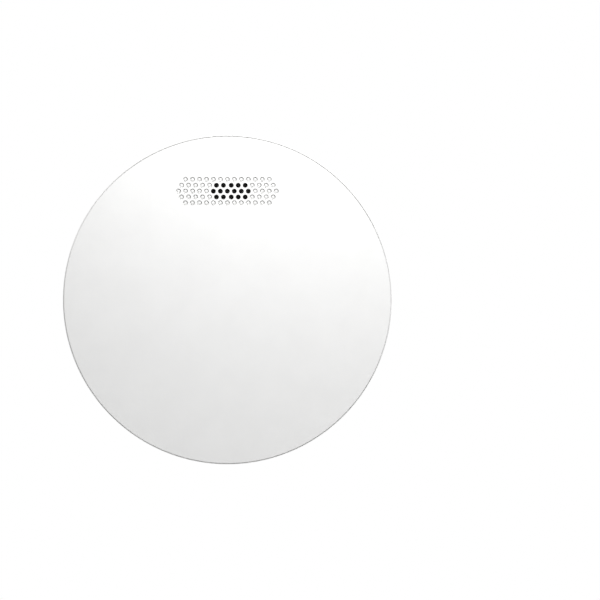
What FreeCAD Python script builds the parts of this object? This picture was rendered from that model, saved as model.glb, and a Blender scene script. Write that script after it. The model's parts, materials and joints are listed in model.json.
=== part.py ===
"""Round wall- or ceiling-mounted optical smoke detector, drawn at full size in millimetres.

Every piece is drawn in a face frame: x to the right and y up as the detector is seen from the front,
and z as height off the wall.  save() then stands it upright, so that in the written files the wall is
the plane Y = 0, the front looks toward -Y and +Z is up.  The origin is the middle of the contact plane
of the four feet, on the axis of the case.
"""
import FreeCAD, Part
import math
import os

# ---------------------------------------------------------------- driving dimensions
CASE_DIAMETER = 110.0
WALL = 1.8
FOOT_PROUD = 0.5               # how far the rubber feet hold the plate off the wall

BACK = FOOT_PROUD              # rear rim of the base and rear face of the plate
CHAMFER = 3.3                  # 45 degree bevel around the rear of the base
BASE_TOP = 14.45               # lower lip of the smoke gap
COVER_LIP = 16.9               # upper lip of the smoke gap
COVER_EDGE = 27.85             # where the skirt of the cover meets the dome
DOME_SAG = 2.35

CASE_RADIUS = CASE_DIAMETER / 2
BASE_DRAFT = 0.45              # the base is this much smaller in radius at the bevel than at its lip
COVER_DRAFT = 0.3              # and the cover at its front edge
EDGE_ROUND = 0.3
ROOT = 0.5                     # how deep a rib or a post starts inside the wall that it stands on
FIT = 0.1                      # play beside pieces that locate each other

PLATE_RADIUS = 49.2
PLATE_THICK = 2.2
RUNNING_GAP = 0.4              # between the plate and the floor of the base
SCREW_SPACING = 60.0
SCREW_SLOT_WIDTH = 4.4
SCREW_SLOT_LENGTH = 9.0
SCREW_HEAD_WIDTH = 8.6
SCREW_HEAD_DEPTH = 1.1
POCKET_DEPTH = 0.9             # coring of the wall side of the plate
POCKET_RINGS = ((18.0, 5.0), (43.0, 21.0))
POCKET_RIB = 1.2
SCREW_BOSS_WALL = 1.5
FOOT_RADIUS = 1.45
FOOT_BEAD = 0.5                # the bead that snaps into the plate stands this far out of the stem
FOOT_BEAD_LOW = BACK + 0.6
FOOT_TOP = BACK + PLATE_THICK - 0.7
FOOT_OFFSET = 33.4             # feet at (+-, +-) this

HOOK_ANGLES = (90.0, 210.0, 330.0)
HOOK_OUTER = 40.5
HOOK_POST = 2.0                # radial thickness of the hook's post
HOOK_LIP = 2.4                 # how far the lip reaches inward over the floor
HOOK_LIP_THICK = 1.2
HOOK_HALF_ANGLE = 5.5
HOOK_PLAY = 0.3
TWIST = 16.0                   # degrees from locked to free
PIN_RADIUS = 1.25
PIN_REACH = 12.0               # distance of the activation pin from the axis
PIN_WINDOW_X = (-5.6, 1.8)     # window of the floor that the pin travels in
PIN_WINDOW_Y = (-13.9, -9.9)

PRESS = 0.5                    # travel of the cover when it is pressed to test

FLOOR_LOW = BACK + PLATE_THICK + RUNNING_GAP
FLOOR_HIGH = FLOOR_LOW + WALL
BOARD_LOW = 7.6
BOARD_HIGH = BOARD_LOW + 1.6
BOARD_RADIUS = 47.5
DECK_LOW = 12.6                # black tray that closes the electronics off from the smoke gap
DECK_HIGH = 13.8
DECK_RADIUS = 52.3
LINER_LOW = 17.3               # black smoke guide in the cover, facing the tray
LINER_HIGH = 18.3
LINER_RADIUS = 52.6

SOUNDER = (1.16, 36.5)         # axis of the sounder, behind the middle of the open grille holes
SOUNDER_RADIUS = 16.3
SOUNDER_LOW = 9.6
SOUNDER_HIGH = 24.0
SOUNDER_WALL = 1.4
NECK_RADIUS = 6.2
NECK_HIGH = 26.2
PIEZO_HEIGHT = 15.0

CHAMBER = (14.0, 4.6)          # axis of the optical chamber
CHAMBER_RADIUS = 17.2
CHAMBER_FLOOR = 11.0
CHAMBER_CEILING = 20.6
CHAMBER_TOP = 22.0
OPTIC_HEIGHT = 15.6
OPTIC_ANGLES = {"emitter": 200.0, "receiver": 320.0}
FIN_COUNT = 20
SCREEN_SLOTS = 48

CELL_Y = -22.4                 # lithium cell, lying across the detector
CELL_HEIGHT = 16.6
CELL_RADIUS = 8.5
CELL_LENGTH = 34.5
HOLDER_HALF = 9.4
HOLDER_END = 19.8
HOLDER_HIGH = 16.4
FINGER_X = (10.5, 14.0)        # snap fingers of the holder that reach over the cell
FINGER_HIGH = 18.6

SPRING_ANGLES = (-90.0, 30.7, 149.3)
SPRING_REACH = 47.8
SPRING_RADIUS = 2.0            # centre line of the wire
SPRING_WIRE = 0.5
SPRING_TURNS = 5.5
SPRING_SEAT = 21.0             # face of the cover that the springs push on
CUP_RADIUS = 3.2               # cups of the tray that the springs stand in
CUP_HIGH = 16.4

RIB_Y = 39.4                   # guide ribs of the cover
RIB_THICK = 0.8
RIB_INNER = 26.5
RIB_OUTER = 34.0
RIB_LOW = 8.2
WINDOW_LOW = 9.3
WINDOW_HIGH = 12.0
RIB_SLOT_Y = (38.4, 43.2)      # openings of the tray that the guide ribs and their posts pass through
RIB_WINDOW_X = (28.2, 31.3)
POST_X = (27.5, 31.4)          # posts of the base that the guide ribs snap over
POST_GAP = 0.4
POST_THICK = 2.3
POST_HIGH = 12.2
NOSE_X = (28.6, 30.9)
NOSE_OVER_RIB = 0.9
NOSE_THICK = 1.6
LOCATOR_X = (18.0, 25.0)       # a short rib of the cover and a lip of the liner, side by side
LOCATOR_Y = -45.35
LOCATOR_THICK = 0.5
LOCATOR_LOW = 13.4
GUSSET_X = (26.6, 27.8)
GUSSET_DEPTH = 3.1
GUSSET_TOP_DEPTH = 1.1
GUSSET_SHOULDER = 13.6
CURTAIN_LOW = 16.4             # curtains of the liner that darken the front of the gap

TEST_SWITCH = (-26.0, 6.0)
TEST_SWITCH_HIGH = 12.6
PLUNGER_HIGH = 14.2

SCREW_ANGLES = (15.0, 165.0, 222.0, 318.0)
SCREW_REACH = 44.6
SCREW_RADIUS = 1.25
PILLAR_RADIUS = 3.3
SCREW_HEAD_RADIUS = 2.3
SCREW_HEAD_LOW = DECK_HIGH - 2.0

EDGE_RIB = (50.2, 53.0)        # short ribs at the foot of the base's wall that the tray sits over
EDGE_RIB_HIGH = 11.5
EDGE_RIB_STEP = 30

GRILLE_Y = 36.13
GRILLE_PITCH = 2.32
GRILLE_MIDDLE_PITCH = 2.6      # the even rows are split in two halves this far apart
GRILLE_ROW_PITCH = 1.95
GRILLE_ROWS = (13, 14, 15, 14, 13)
GRILLE_OPEN = ((), range(5, 10), range(5, 11), range(5, 10), ())   # open holes of each row, from the left
HOLE_RADIUS = 0.82
DIMPLE_RADIUS = 0.85
DIMPLE_FLOOR_RADIUS = 0.55
DIMPLE_DEPTH = 0.6

MARK_Y = (-0.9, 1.5)           # shallow alignment marks at the side of the base and of the cover
MARK_DEPTH = 0.15
BASE_MARK = (12.5, 13.9)
COVER_MARK = (17.6, 18.5)


# ---------------------------------------------------------------- drawing helpers
def vec(x, y, z):
    return FreeCAD.Vector(x, y, z)


UP = vec(0, 0, 1)
ORIGIN = vec(0, 0, 0)


def disc(radius, low, high, centre=(0.0, 0.0)):
    return Part.makeCylinder(radius, high - low, vec(centre[0], centre[1], low), UP)


def ring(outer, inner, low, high, centre=(0.0, 0.0)):
    return disc(outer, low, high, centre).cut(disc(inner, low - 1, high + 1, centre))


def block(x_range, y_range, low, high):
    x0, x1 = sorted(x_range)
    y0, y1 = sorted(y_range)
    return Part.makeBox(x1 - x0, y1 - y0, high - low, vec(x0, y0, low))


def sector(outer, inner, low, high, start, end, centre=(0.0, 0.0)):
    """Part of a ring between two angles in degrees."""
    shape = Part.makeCylinder(outer, high - low, vec(centre[0], centre[1], low), UP, end - start)
    shape.rotate(vec(centre[0], centre[1], 0), UP, start)
    return shape.cut(disc(inner, low - 1, high + 1, centre))


def slot(length, width, low, high, centre):
    """Round-ended slot that runs along x."""
    reach = (length - width) / 2
    x, y = centre
    middle = block((x - reach, x + reach), (y - width / 2, y + width / 2), low, high)
    ends = [disc(width / 2, low, high, (x + side * reach, y)) for side in (-1, 1)]
    return middle.fuse(ends)


def turned(points):
    """Solid of revolution about the case axis; points are (radius, height)."""
    corners = [vec(radius, 0, height) for radius, height in points]
    face = Part.Face(Part.makePolygon(corners + corners[:1]))
    return face.revolve(ORIGIN, UP, 360)


def polar(reach, angle, centre=(0.0, 0.0)):
    turn = math.radians(angle)
    return (centre[0] + reach * math.cos(turn), centre[1] + reach * math.sin(turn))


def turn_about(shape, centre, angle):
    turned_shape = shape.copy()
    turned_shape.rotate(vec(centre[0], centre[1], 0), UP, angle)
    return turned_shape


def join(shapes):
    return shapes[0].fuse(shapes[1:]).removeSplitter()


def alignment_mark(heights):
    """Cutter for a shallow mark in the side of the case."""
    return block((CASE_RADIUS - MARK_DEPTH, CASE_RADIUS + 1), MARK_Y, heights[0], heights[1])


def edge_rib_angles():
    """Angles of the ribs at the wall of the base, which leave out the top and the bottom."""
    return [angle for angle in range(0, 360, EDGE_RIB_STEP) if angle % 180 != 90]


def circles_at(shape, radius, height):
    """Full-circle edges about the case axis at one radius and height."""
    found = []
    for edge in shape.Edges:
        box = edge.BoundBox
        if box.ZLength < 0.02 and abs(box.ZMin - height) < 0.02 and abs(box.XLength / 2 - radius) < 0.02:
            found.append(edge)
    return found


def save(node, shape):
    upright = shape.copy()
    upright.rotate(ORIGIN, vec(1, 0, 0), 90)
    upright.exportStep(os.path.join("parts", node + ".step"))


# ---------------------------------------------------------------- dome of the cover
DOME_EDGE_RADIUS = CASE_RADIUS - COVER_DRAFT
DOME_RADIUS = (DOME_EDGE_RADIUS ** 2 + DOME_SAG ** 2) / (2 * DOME_SAG)
DOME_CENTRE = COVER_EDGE + DOME_SAG - DOME_RADIUS


def dome_height(reach, depth=0.0):
    """Height of the dome at a distance from the axis, or of a surface this deep under it."""
    return DOME_CENTRE + math.sqrt((DOME_RADIUS - depth) ** 2 - reach ** 2)


def dome_ball(depth=0.0):
    return Part.makeSphere(DOME_RADIUS - depth, vec(0, 0, DOME_CENTRE))


def under_dome(shape, depth):
    """Trim a piece so that it ends on the surface this deep under the dome."""
    return shape.common(dome_ball(depth))


# ---------------------------------------------------------------- mounting plate
def hook():
    """L-shaped bayonet hook at angle 0, standing on the plate."""
    plate_top = BACK + PLATE_THICK
    lip_low = FLOOR_HIGH + FIT
    post_inner = HOOK_OUTER - HOOK_POST
    half = HOOK_HALF_ANGLE
    lip_high = lip_low + HOOK_LIP_THICK
    post = sector(HOOK_OUTER, post_inner, plate_top - ROOT, lip_high, -half, half)
    lip = sector(HOOK_OUTER, post_inner - HOOK_LIP, lip_low, lip_high, -half, half)
    return post.fuse(lip)


def plate_pockets():
    """Shallow pockets in the wall side, which leave a web of ribs and a boss around each screw slot."""
    low = BACK - 1
    high = BACK + POCKET_DEPTH
    solid = []
    for angle in range(0, 180, 30):
        rib = block((-PLATE_RADIUS, PLATE_RADIUS), (-POCKET_RIB / 2, POCKET_RIB / 2), low, high)
        solid.append(turn_about(rib, (0, 0), angle))
    for side in (-1, 1):
        boss_width = SCREW_HEAD_WIDTH + 2 * SCREW_BOSS_WALL
        boss_length = SCREW_SLOT_LENGTH - SCREW_SLOT_WIDTH + boss_width
        solid.append(slot(boss_length, boss_width, low, high, (side * SCREW_SPACING / 2, 0)))
    pockets = []
    for outer, inner in POCKET_RINGS:
        pockets.append(ring(outer, inner, low, high).cut(solid))
    return pockets


def mounting_plate():
    top = BACK + PLATE_THICK
    bevel = 0.5
    plate = turned([(0, BACK), (PLATE_RADIUS - bevel, BACK), (PLATE_RADIUS, BACK + bevel),
                    (PLATE_RADIUS, top), (0, top)])
    pieces = [plate]
    for angle in HOOK_ANGLES:
        pieces.append(turn_about(hook(), (0, 0), angle))
    pieces.append(disc(PIN_RADIUS, top - ROOT, FLOOR_HIGH + HOOK_LIP_THICK, (0, -PIN_REACH)))
    plate = join(pieces)
    cuts = []
    for side in (-1, 1):
        centre = (side * SCREW_SPACING / 2, 0)
        cuts.append(slot(SCREW_SLOT_LENGTH, SCREW_SLOT_WIDTH, BACK - 1, top + 1, centre))
        head_length = SCREW_SLOT_LENGTH - SCREW_SLOT_WIDTH + SCREW_HEAD_WIDTH
        cuts.append(slot(head_length, SCREW_HEAD_WIDTH, top - SCREW_HEAD_DEPTH, top + 1, centre))
    for x in (-FOOT_OFFSET, FOOT_OFFSET):
        for y in (-FOOT_OFFSET, FOOT_OFFSET):
            cuts.append(disc(FOOT_RADIUS, BACK - 1, FOOT_TOP, (x, y)))
            cuts.append(disc(FOOT_RADIUS + FOOT_BEAD, FOOT_BEAD_LOW, FOOT_TOP, (x, y)))
    return plate.cut(cuts + plate_pockets())


def rubber_feet():
    """Four push-in feet: a stem with a bead that snaps into the plate."""
    feet = []
    for x in (-FOOT_OFFSET, FOOT_OFFSET):
        for y in (-FOOT_OFFSET, FOOT_OFFSET):
            stem = disc(FOOT_RADIUS, 0, FOOT_TOP, (x, y))
            tip = [edge for edge in stem.Edges if isinstance(edge.Curve, Part.Circle)
                   and edge.Curve.Center.z < 0.01]
            stem = stem.makeFillet(0.2, tip)
            bead = disc(FOOT_RADIUS + FOOT_BEAD, FOOT_BEAD_LOW, FOOT_TOP, (x, y))
            feet.append(stem.fuse(bead).removeSplitter())
    return Part.makeCompound(feet)


# ---------------------------------------------------------------- base housing
def base_shell():
    bevel_high = BACK + CHAMFER
    outer_at_bevel = CASE_RADIUS - BASE_DRAFT
    outer_at_back = outer_at_bevel - CHAMFER
    recess = PLATE_RADIUS + RUNNING_GAP
    shell = turned([
        (0, FLOOR_LOW), (recess, FLOOR_LOW), (recess, BACK), (outer_at_back, BACK),
        (outer_at_bevel, bevel_high), (CASE_RADIUS, BASE_TOP), (CASE_RADIUS - WALL, BASE_TOP),
        (outer_at_bevel - WALL, FLOOR_HIGH), (0, FLOOR_HIGH)])
    edges = circles_at(shell, CASE_RADIUS, BASE_TOP) + circles_at(shell, CASE_RADIUS - WALL, BASE_TOP)
    edges += circles_at(shell, outer_at_back, BACK) + circles_at(shell, outer_at_bevel, bevel_high)
    return shell.makeFillet(EDGE_ROUND, edges)


def bayonet_openings():
    """Keyhole slots: a narrow run for the post and a wide end that lets the lip through."""
    cuts = []
    post_inner = HOOK_OUTER - HOOK_POST
    outer = HOOK_OUTER + HOOK_PLAY
    inner = post_inner - HOOK_PLAY
    low = FLOOR_LOW - 1
    high = FLOOR_HIGH + 1
    spread = HOOK_HALF_ANGLE + 0.7
    for angle in HOOK_ANGLES:
        free = angle - TWIST
        cuts.append(sector(outer, inner, low, high, free - spread, angle + spread))
        cuts.append(sector(outer, inner - HOOK_LIP, low, high, free - spread, free + spread))
    return cuts


def catch_posts():
    """Posts whose noses hold the guide ribs of the cover; slanted gussets steady the lower pair."""
    posts = []
    near = RIB_Y + RIB_THICK / 2 + POST_GAP
    foot = FLOOR_HIGH - ROOT
    nose_low = WINDOW_LOW + FIT
    for side in (-1, 1):
        post_x = (side * POST_X[0], side * POST_X[1])
        nose_x = (side * NOSE_X[0], side * NOSE_X[1])
        for up in (-1, 1):
            posts.append(block(post_x, (up * near, up * (near + POST_THICK)), foot, POST_HIGH))
            posts.append(block(nose_x, (up * (RIB_Y - NOSE_OVER_RIB), up * (near + ROOT)),
                               nose_low, nose_low + NOSE_THICK))
        outline = [(-near, foot), (-near - GUSSET_DEPTH, foot), (-near - GUSSET_DEPTH, GUSSET_SHOULDER),
                   (-near - GUSSET_TOP_DEPTH, CUP_HIGH), (-near, CUP_HIGH)]
        inner, outer = sorted(side * x for x in GUSSET_X)
        corners = [vec(inner, y, height) for y, height in outline]
        face = Part.Face(Part.makePolygon(corners + corners[:1]))
        posts.append(face.extrude(vec(outer - inner, 0, 0)))
    return posts


def lever_rails():
    """Two rails that the activation lever slides between."""
    run = (-7.5, LEVER_HALF + 0.2)
    high = FLOOR_HIGH + 1.9
    lower = block(run, (LEVER_Y[0] - 1.6, LEVER_Y[0] - 0.2), FLOOR_HIGH - ROOT, high)
    upper = block(run, (LEVER_Y[1] + 0.2, LEVER_Y[1] + 1.3), FLOOR_HIGH - ROOT, high)
    return [lower, upper]


def base_housing():
    pieces = [base_shell()] + catch_posts() + lever_rails()
    for angle in SCREW_ANGLES:
        pieces.append(disc(PILLAR_RADIUS, FLOOR_HIGH - ROOT, BOARD_LOW, polar(SCREW_REACH, angle)))
    edge_rib = block(EDGE_RIB, (-0.5, 0.5), FLOOR_HIGH - ROOT, EDGE_RIB_HIGH)
    for angle in edge_rib_angles():
        pieces.append(turn_about(edge_rib, (0, 0), angle))
    base = join(pieces)
    cuts = bayonet_openings()
    cuts.append(block(PIN_WINDOW_X, PIN_WINDOW_Y, FLOOR_LOW - 1, FLOOR_HIGH + 1))
    for angle in SCREW_ANGLES:
        cuts.append(disc(SCREW_RADIUS, FLOOR_LOW + 0.8, BOARD_LOW + 1, polar(SCREW_REACH, angle)))
    cuts.append(alignment_mark(BASE_MARK))
    return base.cut(cuts)


def rating_label():
    """Blank foil stuck to the rear of the base, hidden once the detector hangs on its plate."""
    outer, inner = 33.0, 15.0
    thick = 0.1
    return sector(outer, inner, FLOOR_LOW - thick, FLOOR_LOW, 20.0, 160.0)


# ---------------------------------------------------------------- test and activation switches
def test_switch_body():
    x, y = TEST_SWITCH
    body = block((x - 3, x + 3), (y - 3, y + 3), BOARD_HIGH, TEST_SWITCH_HIGH)
    return body.cut(disc(1.8, BOARD_HIGH + 1.2, TEST_SWITCH_HIGH + 1, TEST_SWITCH))


def test_switch_plunger():
    collar = disc(1.74, TEST_SWITCH_HIGH - 1.6, TEST_SWITCH_HIGH - 0.6, TEST_SWITCH)
    stem = disc(1.5, TEST_SWITCH_HIGH - 1.6, PLUNGER_HIGH, TEST_SWITCH)
    return collar.fuse(stem).removeSplitter()


LEVER_LOW = FLOOR_HIGH + 0.1
LEVER_HIGH = FLOOR_HIGH + 1.5
LEVER_HALF = 3.2
LEVER_Y = (-16.2, -8.2)
TONGUE_HALF = 1.0
TONGUE_REACH = 4.8


def activation_lever():
    """Sliding fork that the pin of the plate drives, with a tongue into the switch."""
    fork = block((-LEVER_HALF, LEVER_HALF), LEVER_Y, LEVER_LOW, LEVER_HIGH)
    mouth = PIN_RADIUS + 0.2
    fork = fork.cut(block((-mouth, mouth), (-14.2, LEVER_Y[1] + 1), LEVER_LOW - 1, LEVER_HIGH + 1))
    tongue = block((LEVER_HALF - ROOT, LEVER_HALF + TONGUE_REACH),
                   (-PIN_REACH - TONGUE_HALF, -PIN_REACH + TONGUE_HALF), LEVER_LOW + 0.3, LEVER_HIGH - 0.2)
    return fork.fuse(tongue).removeSplitter()


def activation_switch():
    """Slide switch on the board's rear face, with a tunnel for the tongue of the lever."""
    half = 3.2
    body = block((LEVER_HALF + 0.5, LEVER_HALF + 7.0), (-PIN_REACH - half, -PIN_REACH + half),
                 LEVER_LOW + 0.05, BOARD_LOW)
    play = TONGUE_HALF + FIT
    tunnel = block((LEVER_HALF, LEVER_HALF + TONGUE_REACH + 0.8), (-PIN_REACH - play, -PIN_REACH + play),
                   LEVER_LOW + 0.2, LEVER_HIGH - 0.1)
    return body.cut(tunnel)


# ---------------------------------------------------------------- circuit board
def screw_points():
    return [polar(SCREW_REACH, angle) for angle in SCREW_ANGLES]


def board_outline():
    """Round board, notched at the guide ribs and open under the cell."""
    board = disc(BOARD_RADIUS, BOARD_LOW, BOARD_HIGH)
    low = BOARD_LOW - 1
    high = BOARD_HIGH + 1
    cuts = []
    for side in (-1, 1):
        for up in (-1, 1):
            cuts.append(block((side * 25.6, side * 37), (up * 37.6, up * 50), low, high))
    for point in screw_points():
        cuts.append(disc(SCREW_RADIUS + 0.2, low, high, point))
    cuts.append(block((-17.8, 17.8), (CELL_Y - 5.0, CELL_Y + 5.0), low, high))
    return board.cut(cuts)


def microcontroller():
    body = block((-19.5, -12.5), (-8.5, -1.5), BOARD_HIGH + 0.15, BOARD_HIGH + 1.25)
    legs = []
    for index in range(8):
        step = -7.45 + index * 0.7
        for side in (-1, 1):
            legs.append(block((-16 + side * 3.3, -16 + side * 4.5), (step, step + 0.3),
                              BOARD_HIGH, BOARD_HIGH + 0.4))
    for index in range(8):
        step = -18.45 + index * 0.7
        for side in (-1, 1):
            legs.append(block((step, step + 0.3), (-5 + side * 3.3, -5 + side * 4.5),
                              BOARD_HIGH, BOARD_HIGH + 0.4))
    return join([body] + legs)


def driver_chip():
    body = block((-38.5, -29.8), (-11.0, -7.0), BOARD_HIGH + 0.15, BOARD_HIGH + 1.6)
    legs = []
    for index in range(7):
        step = -38.15 + index * 1.27
        for side in (-1, 1):
            legs.append(block((step, step + 0.4), (-9 + side * 1.8, -9 + side * 3.0),
                              BOARD_HIGH, BOARD_HIGH + 0.5))
    return join([body] + legs)


CAPACITOR_POINTS = ((-41.0, -1.5), (-37.0, 6.2))
CAPACITOR_RADIUS = 3.15


def capacitors():
    cans = []
    for point in CAPACITOR_POINTS:
        x, y = point
        foot = block((x - 3.1, x + 3.1), (y - 3.1, y + 3.1), BOARD_HIGH, BOARD_HIGH + 0.5)
        can = disc(CAPACITOR_RADIUS, BOARD_HIGH + 0.5, BOARD_HIGH + 5.8, point)
        neck = ring(CAPACITOR_RADIUS + 1, CAPACITOR_RADIUS - 0.3, BOARD_HIGH + 1.2, BOARD_HIGH + 1.7, point)
        cans.append(foot.fuse(can).cut(neck).removeSplitter())
    return Part.makeCompound(cans)


def chip_parts():
    """Surface-mount resistors and capacitors in three short rows."""
    chips = []
    for row in range(3):
        for column in range(7):
            x = -38 + column * 2.6
            y = 16.5 + row * 2.2
            chips.append(block((x, x + 1.6), (y, y + 0.8), BOARD_HIGH, BOARD_HIGH + 0.45))
    return Part.makeCompound(chips)


def boost_coil():
    centre = (-29.0, -18.5)
    core = disc(3.9, BOARD_HIGH, BOARD_HIGH + 3.1, centre)
    return core.cut(ring(5.0, 2.9, BOARD_HIGH + 0.7, BOARD_HIGH + 2.4, centre))


LED_POINT = (-30.0, 27.0)


def status_led():
    """Small lamp on the board under a light hole of the tray; it glows in the smoke gap."""
    flange = disc(1.9, BOARD_HIGH, BOARD_HIGH + 0.8, LED_POINT)
    body = disc(1.5, BOARD_HIGH, BOARD_HIGH + 1.5, LED_POINT)
    lens = Part.makeSphere(1.5, vec(LED_POINT[0], LED_POINT[1], BOARD_HIGH + 1.5))
    return join([flange, body, lens.common(disc(2.0, BOARD_HIGH + 1.0, DECK_LOW, LED_POINT))])


# ---------------------------------------------------------------- optical chamber
def chamber_ring(outer, inner, low, high):
    return ring(outer, inner, low, high, CHAMBER)


def optic_place(shape, name):
    return turn_about(shape, CHAMBER, OPTIC_ANGLES[name])


def optic_axis(reach_out, reach_in, radius):
    """Cylinder along +x from the chamber axis, at the height of the optics."""
    x, y = CHAMBER
    return Part.makeCylinder(radius, reach_out - reach_in, vec(x + reach_in, y, OPTIC_HEIGHT), vec(1, 0, 0))


def chamber_base():
    floor = disc(CHAMBER_RADIUS, BOARD_HIGH, CHAMBER_FLOOR, CHAMBER)
    dish = disc(8.0, CHAMBER_FLOOR - 0.9, CHAMBER_FLOOR + 1, CHAMBER)
    x, y = CHAMBER
    pieces = [floor.cut(dish)]
    for name in OPTIC_ANGLES:
        holder = block((x + 7.4, x + 15.2), (y - 2.9, y + 2.9), CHAMBER_FLOOR - 0.5, OPTIC_HEIGHT + 2.6)
        pieces.append(optic_place(holder, name))
    base = join(pieces)
    cuts = []
    for name in OPTIC_ANGLES:
        cuts.append(optic_place(optic_axis(14.6, 9.2, 1.6), name))
        cuts.append(optic_place(optic_axis(16.5, 6.0, 1.0), name))
    receiver_pocket = block((x + 9.0, x + 14.7), (y - 2.2, y + 2.2), OPTIC_HEIGHT - 2.2, OPTIC_HEIGHT + 3)
    cuts.append(optic_place(receiver_pocket, "receiver"))
    return base.cut(cuts)


def ir_emitter():
    body = optic_axis(13.6, 10.9, 1.5)
    lens = Part.makeSphere(1.5, vec(CHAMBER[0] + 10.9, CHAMBER[1], OPTIC_HEIGHT))
    return optic_place(body.fuse(lens).removeSplitter(), "emitter")


def photodiode():
    body = optic_axis(13.4, 11.6, 1.45)
    lens = Part.makeSphere(1.45, vec(CHAMBER[0] + 11.6, CHAMBER[1], OPTIC_HEIGHT))
    return optic_place(body.fuse(lens).removeSplitter(), "receiver")


def photodiode_shield():
    """Folded tinplate box around the receiver, open toward the middle of the chamber."""
    x, y = CHAMBER
    outside = block((x + 9.3, x + 14.4), (y - 2.1, y + 2.1), OPTIC_HEIGHT - 2.1, OPTIC_HEIGHT + 2.4)
    inside = block((x + 9.0, x + 14.1), (y - 1.8, y + 1.8), OPTIC_HEIGHT - 1.8, OPTIC_HEIGHT + 2.1)
    return optic_place(outside.cut(inside), "receiver")


def labyrinth_fin():
    """Bent vane at angle 0 that lets air in and keeps light out."""
    x, y = CHAMBER
    low = CHAMBER_FLOOR + 0.9
    outer = block((x + 13.2, x + 16.0), (y - 0.35, y + 0.35), low, CHAMBER_CEILING + 0.5)
    outer.rotate(vec(x + 13.2, y, 0), UP, 38)
    inner = block((x + 10.6, x + 13.5), (y - 0.35, y + 0.35), low, CHAMBER_CEILING + 0.5)
    inner.rotate(vec(x + 13.2, y, 0), UP, -38)
    return outer.fuse(inner)


def chamber_cap():
    lid = disc(CHAMBER_RADIUS, CHAMBER_CEILING, CHAMBER_TOP, CHAMBER)
    dish = disc(9.0, CHAMBER_CEILING - 1, CHAMBER_CEILING + 0.6, CHAMBER)
    pieces = [lid.cut(dish)]
    for index in range(FIN_COUNT):
        angle = index * 360.0 / FIN_COUNT
        gaps = [abs((angle - place + 180) % 360 - 180) for place in OPTIC_ANGLES.values()]
        if min(gaps) > 24:
            pieces.append(turn_about(labyrinth_fin(), CHAMBER, angle))
    return join(pieces)


def insect_screen():
    screen = chamber_ring(CHAMBER_RADIUS, CHAMBER_RADIUS - 0.4, CHAMBER_FLOOR, CHAMBER_CEILING)
    low = CHAMBER_FLOOR + 0.8
    tall = (CHAMBER_CEILING - CHAMBER_FLOOR - 3.2) / 3
    cuts = []
    for index in range(SCREEN_SLOTS):
        for level in range(3):
            start = low + level * (tall + 0.8)
            opening = block((CHAMBER[0] + 15, CHAMBER[0] + 19), (CHAMBER[1] - 0.7, CHAMBER[1] + 0.7),
                            start, start + tall)
            cuts.append(turn_about(opening, CHAMBER, index * 360.0 / SCREEN_SLOTS))
    return screen.cut(cuts)


# ---------------------------------------------------------------- sounder
def sounder_housing():
    outer = disc(SOUNDER_RADIUS, SOUNDER_LOW, 18.0, SOUNDER)
    upper = disc(SOUNDER_RADIUS - 0.9, 17.5, SOUNDER_HIGH, SOUNDER)
    neck = disc(NECK_RADIUS + SOUNDER_WALL, SOUNDER_HIGH - 0.5, NECK_HIGH, SOUNDER)
    body = join([outer, upper, neck])
    cavity_radius = SOUNDER_RADIUS - 0.9 - SOUNDER_WALL
    cuts = [disc(cavity_radius, PIEZO_HEIGHT, SOUNDER_HIGH - SOUNDER_WALL, SOUNDER),
            disc(cavity_radius - 1.2, SOUNDER_LOW - 1, PIEZO_HEIGHT + 1, SOUNDER),
            disc(NECK_RADIUS, SOUNDER_HIGH - 4, NECK_HIGH + 1, SOUNDER)]
    body = body.cut(cuts)
    feet = []
    for angle in (200.0, 270.0, 340.0):
        feet.append(disc(1.2, BOARD_HIGH, SOUNDER_LOW + 0.3, polar(14.6, angle, SOUNDER)))
    return join([body] + feet)


def piezo_disc():
    """Brass disc on the ledge of the sounder housing."""
    return disc(13.4, PIEZO_HEIGHT, PIEZO_HEIGHT + 0.3, SOUNDER)


def piezo_ceramic():
    return disc(10.0, PIEZO_HEIGHT - 0.25, PIEZO_HEIGHT, SOUNDER)


def piezo_clamp():
    return ring(13.6, 11.6, PIEZO_HEIGHT + 0.3, PIEZO_HEIGHT + 2.1, SOUNDER)


def sounder_contacts():
    """Bent phosphor-bronze fingers from the board to the brass and to the ceramic."""
    fingers = []
    for shift, reach in ((-7.0, PIEZO_HEIGHT - 0.25), (11.3, PIEZO_HEIGHT)):
        x = SOUNDER[0] + shift
        y = 29.0 if shift < 0 else SOUNDER[1]
        foot = block((x - 1.0, x + 1.0), (y - 2.6, y + 0.3), BOARD_HIGH, BOARD_HIGH + 0.3)
        riser = block((x - 1.0, x + 1.0), (y, y + 0.3), BOARD_HIGH, reach)
        fingers.append(foot.fuse(riser).removeSplitter())
    return Part.makeCompound(fingers)


# ---------------------------------------------------------------- battery
def along_x(radius, x_range, y, height):
    x0, x1 = x_range
    return Part.makeCylinder(radius, x1 - x0, vec(x0, y, height), vec(1, 0, 0))


def battery_cell():
    half = CELL_LENGTH / 2
    body = along_x(CELL_RADIUS, (-half, half - 1.0), CELL_Y, CELL_HEIGHT)
    ends = [edge for edge in body.Edges if isinstance(edge.Curve, Part.Circle)]
    body = body.makeFillet(0.8, ends)
    button = along_x(3.2, (half - 2.0, half), CELL_Y, CELL_HEIGHT)
    return body.fuse(button).removeSplitter()


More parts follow.
